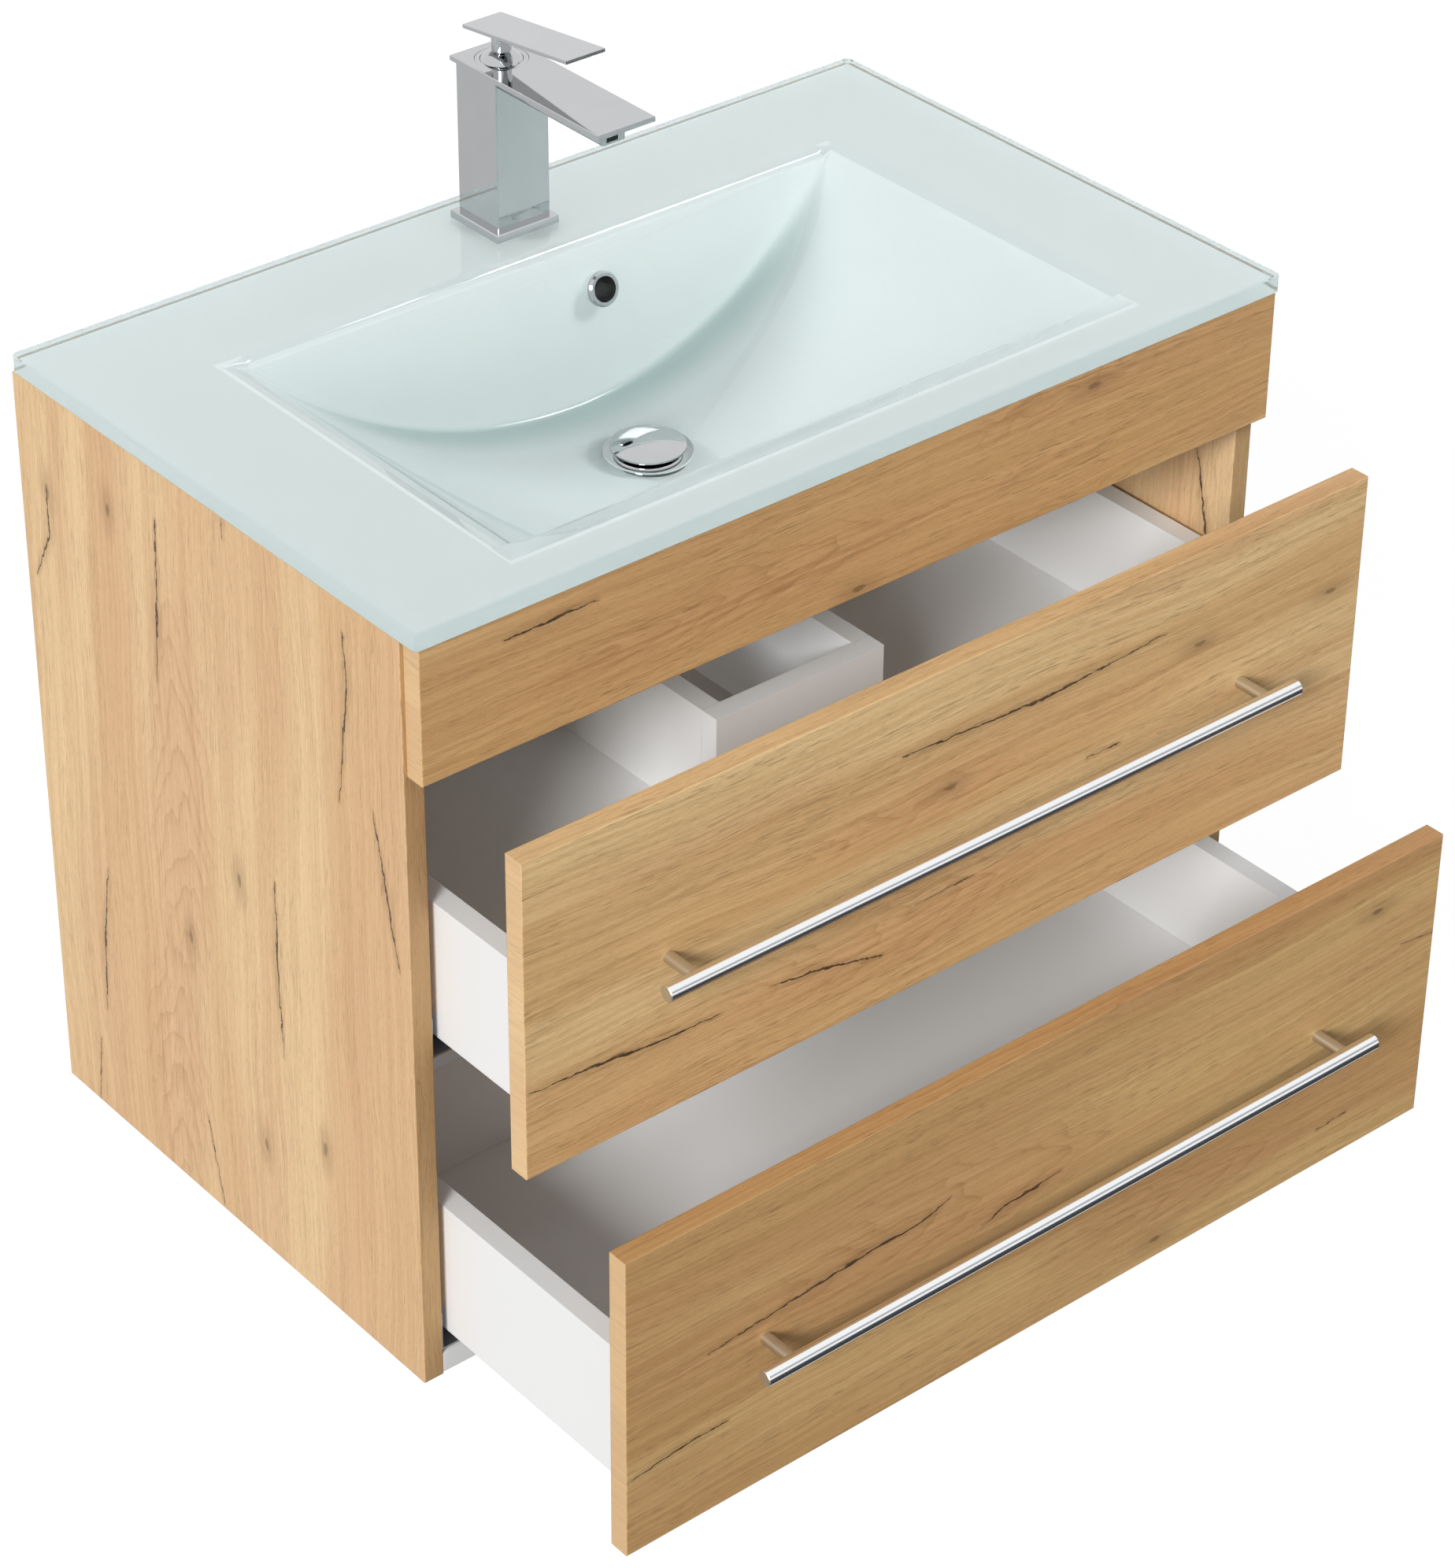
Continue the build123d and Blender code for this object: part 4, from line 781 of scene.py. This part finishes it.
def wallPoints(depth, slope, rim, crease):
    half = tan(slope / 2)
    need = (rim + crease) * half
    least = 0.3 * need * sin(slope)          # shallower walls keep this shape, pressed flat
    drop = max(depth, least)
    fit = min(1.0, 0.98 * drop / sin(slope) / need)
    rim, crease = rim * fit, crease * fit
    steps = basinSet["arcSteps"]
    points = []
    for i in range(steps + 1):
        a = slope * i / steps
        points.append((rim * (sin(a) - half), rim * (1 - cos(a))))
    foot = drop / tan(slope)
    centre = (foot + crease * half, drop - crease)
    top = points[-1]
    low = (centre[0] - crease * sin(slope), centre[1] + crease * cos(slope))
    for i in range(1, basinSet["wallSteps"]):
        share = i / basinSet["wallSteps"]
        points.append(tuple(a + (b - a) * share for a, b in zip(top, low)))
    for i in range(steps + 1):
        a = slope * (1 - i / steps)
        points.append((centre[0] - crease * sin(a), centre[1] + crease * cos(a)))
    return [(u, v * depth / drop) for u, v in points]


def bowlColumn(depth, back, front, rim, crease, margin):
    backWall = wallPoints(depth, radians(basinSet["backSlope"]), rim, crease)
    frontWall = wallPoints(depth, radians(basinSet["frontSlope"]), rim, crease)
    line = [(back + margin, 0.0)] + [(back - u, v) for u, v in backWall]
    far = [(front + u, v) for u, v in reversed(frontWall)] + [(front - margin, 0.0)]
    start, end = line[-1], far[0]
    for i in range(1, basinSet["floorSteps"]):
        share = i / basinSet["floorSteps"]
        line.append(tuple(a + (b - a) * share for a, b in zip(start, end)))
    return line + far


def addSurface(mesh, columns, faceUp, slot):
    rows = [[mesh.verts.new(p) for p in column] for column in columns]
    for a, b in zip(rows, rows[1:]):
        for i in range(len(a) - 1):
            ring = (a[i], a[i + 1], b[i + 1], b[i])
            face = mesh.faces.new(ring if faceUp else ring[::-1])
            face.material_index = slot
            face.smooth = True
    return rows[0] + [r[-1] for r in rows[1:-1]] + rows[-1][::-1] + [r[0] for r in rows[-2:0:-1]]


def fillFlat(mesh, outer, inner, faceUp, slot):
    loops = []
    for loop in (outer, inner):
        for a, b in zip(loop, loop[1:] + loop[:1]):
            loops.append(mesh.edges.get((a, b)) or mesh.edges.new((a, b)))
    done = bmesh.ops.triangle_fill(mesh, use_beauty=True, edges=loops, normal=(0, 0, 1 if faceUp else -1))
    for face in done["geom"]:
        if isinstance(face, bmesh.types.BMFace):
            if (face.normal.z > 0) != faceUp:
                face.normal_flip()
            face.material_index = slot
            face.smooth = True


def roundedOutline(low, high, corner, inset):
    points = []
    radius = max(corner - inset, 0.0005)
    spots = ((high.x, high.y, 0), (low.x, high.y, 1), (low.x, low.y, 2), (high.x, low.y, 3))
    for x, y, quarter in spots:
        cx = x - corner if x > 0 else x + corner
        cy = y - corner if quarter < 2 else y + corner
        for i in range(basinSet["cornerSteps"] + 1):
            a = (quarter + i / basinSet["cornerSteps"]) * pi / 2
            points.append((cx + radius * cos(a), cy + radius * sin(a)))
    return points


def cutHole(piece, name, radius, low, high):
    cutter = bmesh.new()
    bmesh.ops.create_cone(cutter, cap_ends=True, segments=basinSet["holeSteps"], radius1=radius,
                          radius2=radius, depth=1.0)
    axis = Vector(high) - Vector(low)
    middle = (Vector(high) + Vector(low)) / 2
    spin = axis.to_track_quat("Z", "Y").to_matrix().to_4x4()
    place = Matrix.Translation(middle) @ spin @ Matrix.Diagonal((1, 1, axis.length, 1))
    bmesh.ops.transform(cutter, matrix=place, verts=cutter.verts)
    mesh = bpy.data.meshes.new(name)
    for face in cutter.faces:
        face.material_index = 1                     # the cut walls are coated too
    cutter.to_mesh(mesh)
    cutter.free()
    for material in (clearGlass, bowlCoatPaintedLight):
        mesh.materials.append(material)
    tool = bpy.data.objects.new(name, mesh)
    scene.collection.objects.link(tool)
    change = piece.modifiers.new(name, "BOOLEAN")
    change.operation = "DIFFERENCE"
    change.solver = "EXACT"
    change.object = tool
    bpy.context.view_layer.update()
    seen = piece.evaluated_get(bpy.context.evaluated_depsgraph_get())
    done = bpy.data.meshes.new_from_object(seen)
    piece.modifiers.clear()
    old = piece.data
    piece.data = done
    bpy.data.meshes.remove(old)
    bpy.data.objects.remove(tool)
    bpy.data.meshes.remove(mesh)


def buildBasin():
    low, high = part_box("glass_basin")
    top = high.z
    under = top - basinSet["glass"] + glassSet["lift"]     # the coat clears the boards below it
    big, small = basinSet["trough"], basinSet["flare"]
    slope = radians(basinSet["flareSlope"])
    centre = top - basinSet["depth"] + big
    join = acos((centre - top + small * cos(slope)) / (big + small))
    joinX = big * sin(join)
    flareX = (big + small) * sin(join)
    flareZ = top - small * cos(slope)
    tipX = flareX - small * sin(slope)

    def bowlDepth(x):
        x = abs(x)
        if x <= joinX:
            return top - centre + sqrt(big * big - x * x)
        return max(top - flareZ - sqrt(small * small - (flareX - x) ** 2), 0.0) if x < tipX else 0.0

    outside = big + basinSet["glass"]
    shellX = sqrt(outside ** 2 - (centre - under) ** 2)
    mesh = bmesh.new()
    margin = basinSet["rim"] + basinSet["rimMargin"]
    end = basinSet["endColumn"]

    columns = []
    count = basinSet["columns"]
    spots = [tipX * (2 * i / count - 1) for i in range(count + 1)]
    for x in [-tipX - end] + spots + [tipX + end]:
        line = bowlColumn(bowlDepth(x), basinSet["back"], basinSet["front"], basinSet["rim"],
                          basinSet["crease"], margin)
        columns.append([(x, y, top - d) for y, d in line])
    topEdge = addSurface(mesh, columns, True, 0)

    columns = []
    thick = basinSet["glass"]
    lean = [radians(basinSet[k]) for k in ("backSlope", "frontSlope")]
    back = basinSet["back"] + thick / sin(lean[0]) - thick / tan(lean[0])
    front = basinSet["front"] - thick / sin(lean[1]) + thick / tan(lean[1])
    count = count // 2
    spots = [shellX * (2 * i / count - 1) for i in range(count + 1)]
    end = basinSet["shellEnd"]
    for x in [-shellX - end] + spots + [shellX + end]:
        depth = max(under - centre + sqrt(max(outside ** 2 - x * x, 0.0)), 0.0)
        line = bowlColumn(depth, back, front, basinSet["shellRim"], basinSet["crease"] + thick,
                          basinSet["shellMargin"])
        columns.append([(x, y, under - d) for y, d in line])
    underEdge = addSurface(mesh, columns, False, 1)

    # slab edge: bevelled top arris, straight side, then the flat fills
    rings = []
    bevel = basinSet["edge"]
    part = bevel * 0.3
    steps = ((bevel, top), (part, top - part), (0.0, top - bevel), (0.0, under + part), (part, under))
    for inset, z in steps:
        outline = roundedOutline(low, high, basinSet["corner"], inset)
        rings.append([mesh.verts.new((x, y, z)) for x, y in outline])
    for a, b in zip(rings, rings[1:]):
        for i in range(len(a)):
            k = (i + 1) % len(a)
            face = mesh.faces.new((a[i], b[i], b[k], a[k]))
            face.material_index = 2
            face.smooth = True
    fillFlat(mesh, rings[0], topEdge, True, 0)
    fillFlat(mesh, rings[-1], underEdge, False, 3)
    bmesh.ops.recalc_face_normals(mesh, faces=mesh.faces)
    done = bpy.data.meshes.new("glassBasin")
    mesh.to_mesh(done)
    mesh.free()
    piece = bpy.data.objects.new("glassBasin", done)
    scene.collection.objects.link(piece)
    for material in (clearGlass, bowlCoatPaintedLight, edgeGlass, slabCoat):
        done.materials.append(material)

    wx, wy = basinSet["waste"]
    floorZ = top - basinSet["depth"]
    seat = floorZ - basinSet["seatDrop"]
    deep, over = basinSet["cutDeep"], basinSet["cutOver"]
    cutHole(piece, "seatCut", basinSet["wasteSeat"] / 2, (wx, wy, seat), (wx, wy, floorZ + deep))
    cutHole(piece, "wasteCut", basinSet["wasteHole"] / 2, (wx, wy, seat - deep), (wx, wy, seat + over))
    ox, drop = basinSet["overflow"]
    lean = radians(basinSet["backSlope"])
    spot = Vector((ox, basinSet["back"] - drop / tan(lean), top - drop))
    normal = Vector((0, -sin(lean), cos(lean)))
    cutHole(piece, "overflowCut", basinSet["overflowHole"] / 2, spot - normal * deep, spot + normal * deep)
    tx, ty = basinSet["tap"]
    cutHole(piece, "tapCut", basinSet["tapHole"] / 2, (tx, ty, under - over), (tx, ty, top + over))
    piece.data.set_sharp_from_angle(angle=radians(basinSet["sharpAngle"]))
    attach(piece, "cabinet")
    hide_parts("glass_basin")
    return piece


basin = buildBasin()


def lightOnly(lamp, piece, state):
    group = bpy.data.collections.new(lamp.name + "Reach")
    group.objects.link(piece)
    lamp.light_linking.receiver_collection = group
    group.collection_objects[0].light_linking.link_state = state
    if state == "INCLUDE":
        lamp.light_linking.blocker_collection = group     # the tap leaves no shadow in the pale glass


for lamp in glassLamps:
    lightOnly(lamp, basin, "INCLUDE")
lightOnly(keyLamp, basin, "EXCLUDE")
print("basin built")


# finishes of the carried-over pieces

finishes = {
    "oak_side": oak["oakSide"], "melamine": whiteBoard, "satin_steel": satinSteel, "zinc_steel": zincSteel,
    "nylon": nylon, "chrome": chrome, "brass": brass, "dark_plastic": darkPlastic,
    "pale_plastic": palePlastic, "seal_rubber": sealRubber, "basin_glass": clearGlass,
}
ownFinish = {
    "apron_panel": oak["oakApron"], "upper_front": oak["oakUpperFront"], "lower_front": oak["oakLowerFront"],
    "upper_handle_posts": postMetal, "lower_handle_posts": postMetal,
}
for part in frame["record"]["subparts"]:
    piece = nodes[part["node"]]
    material = ownFinish.get(part["node"]) or finishes[part["material_slot"]]
    if piece.material_slots:
        piece.material_slots[0].material = material
    else:
        piece.data.materials.append(material)
print("finishes set")
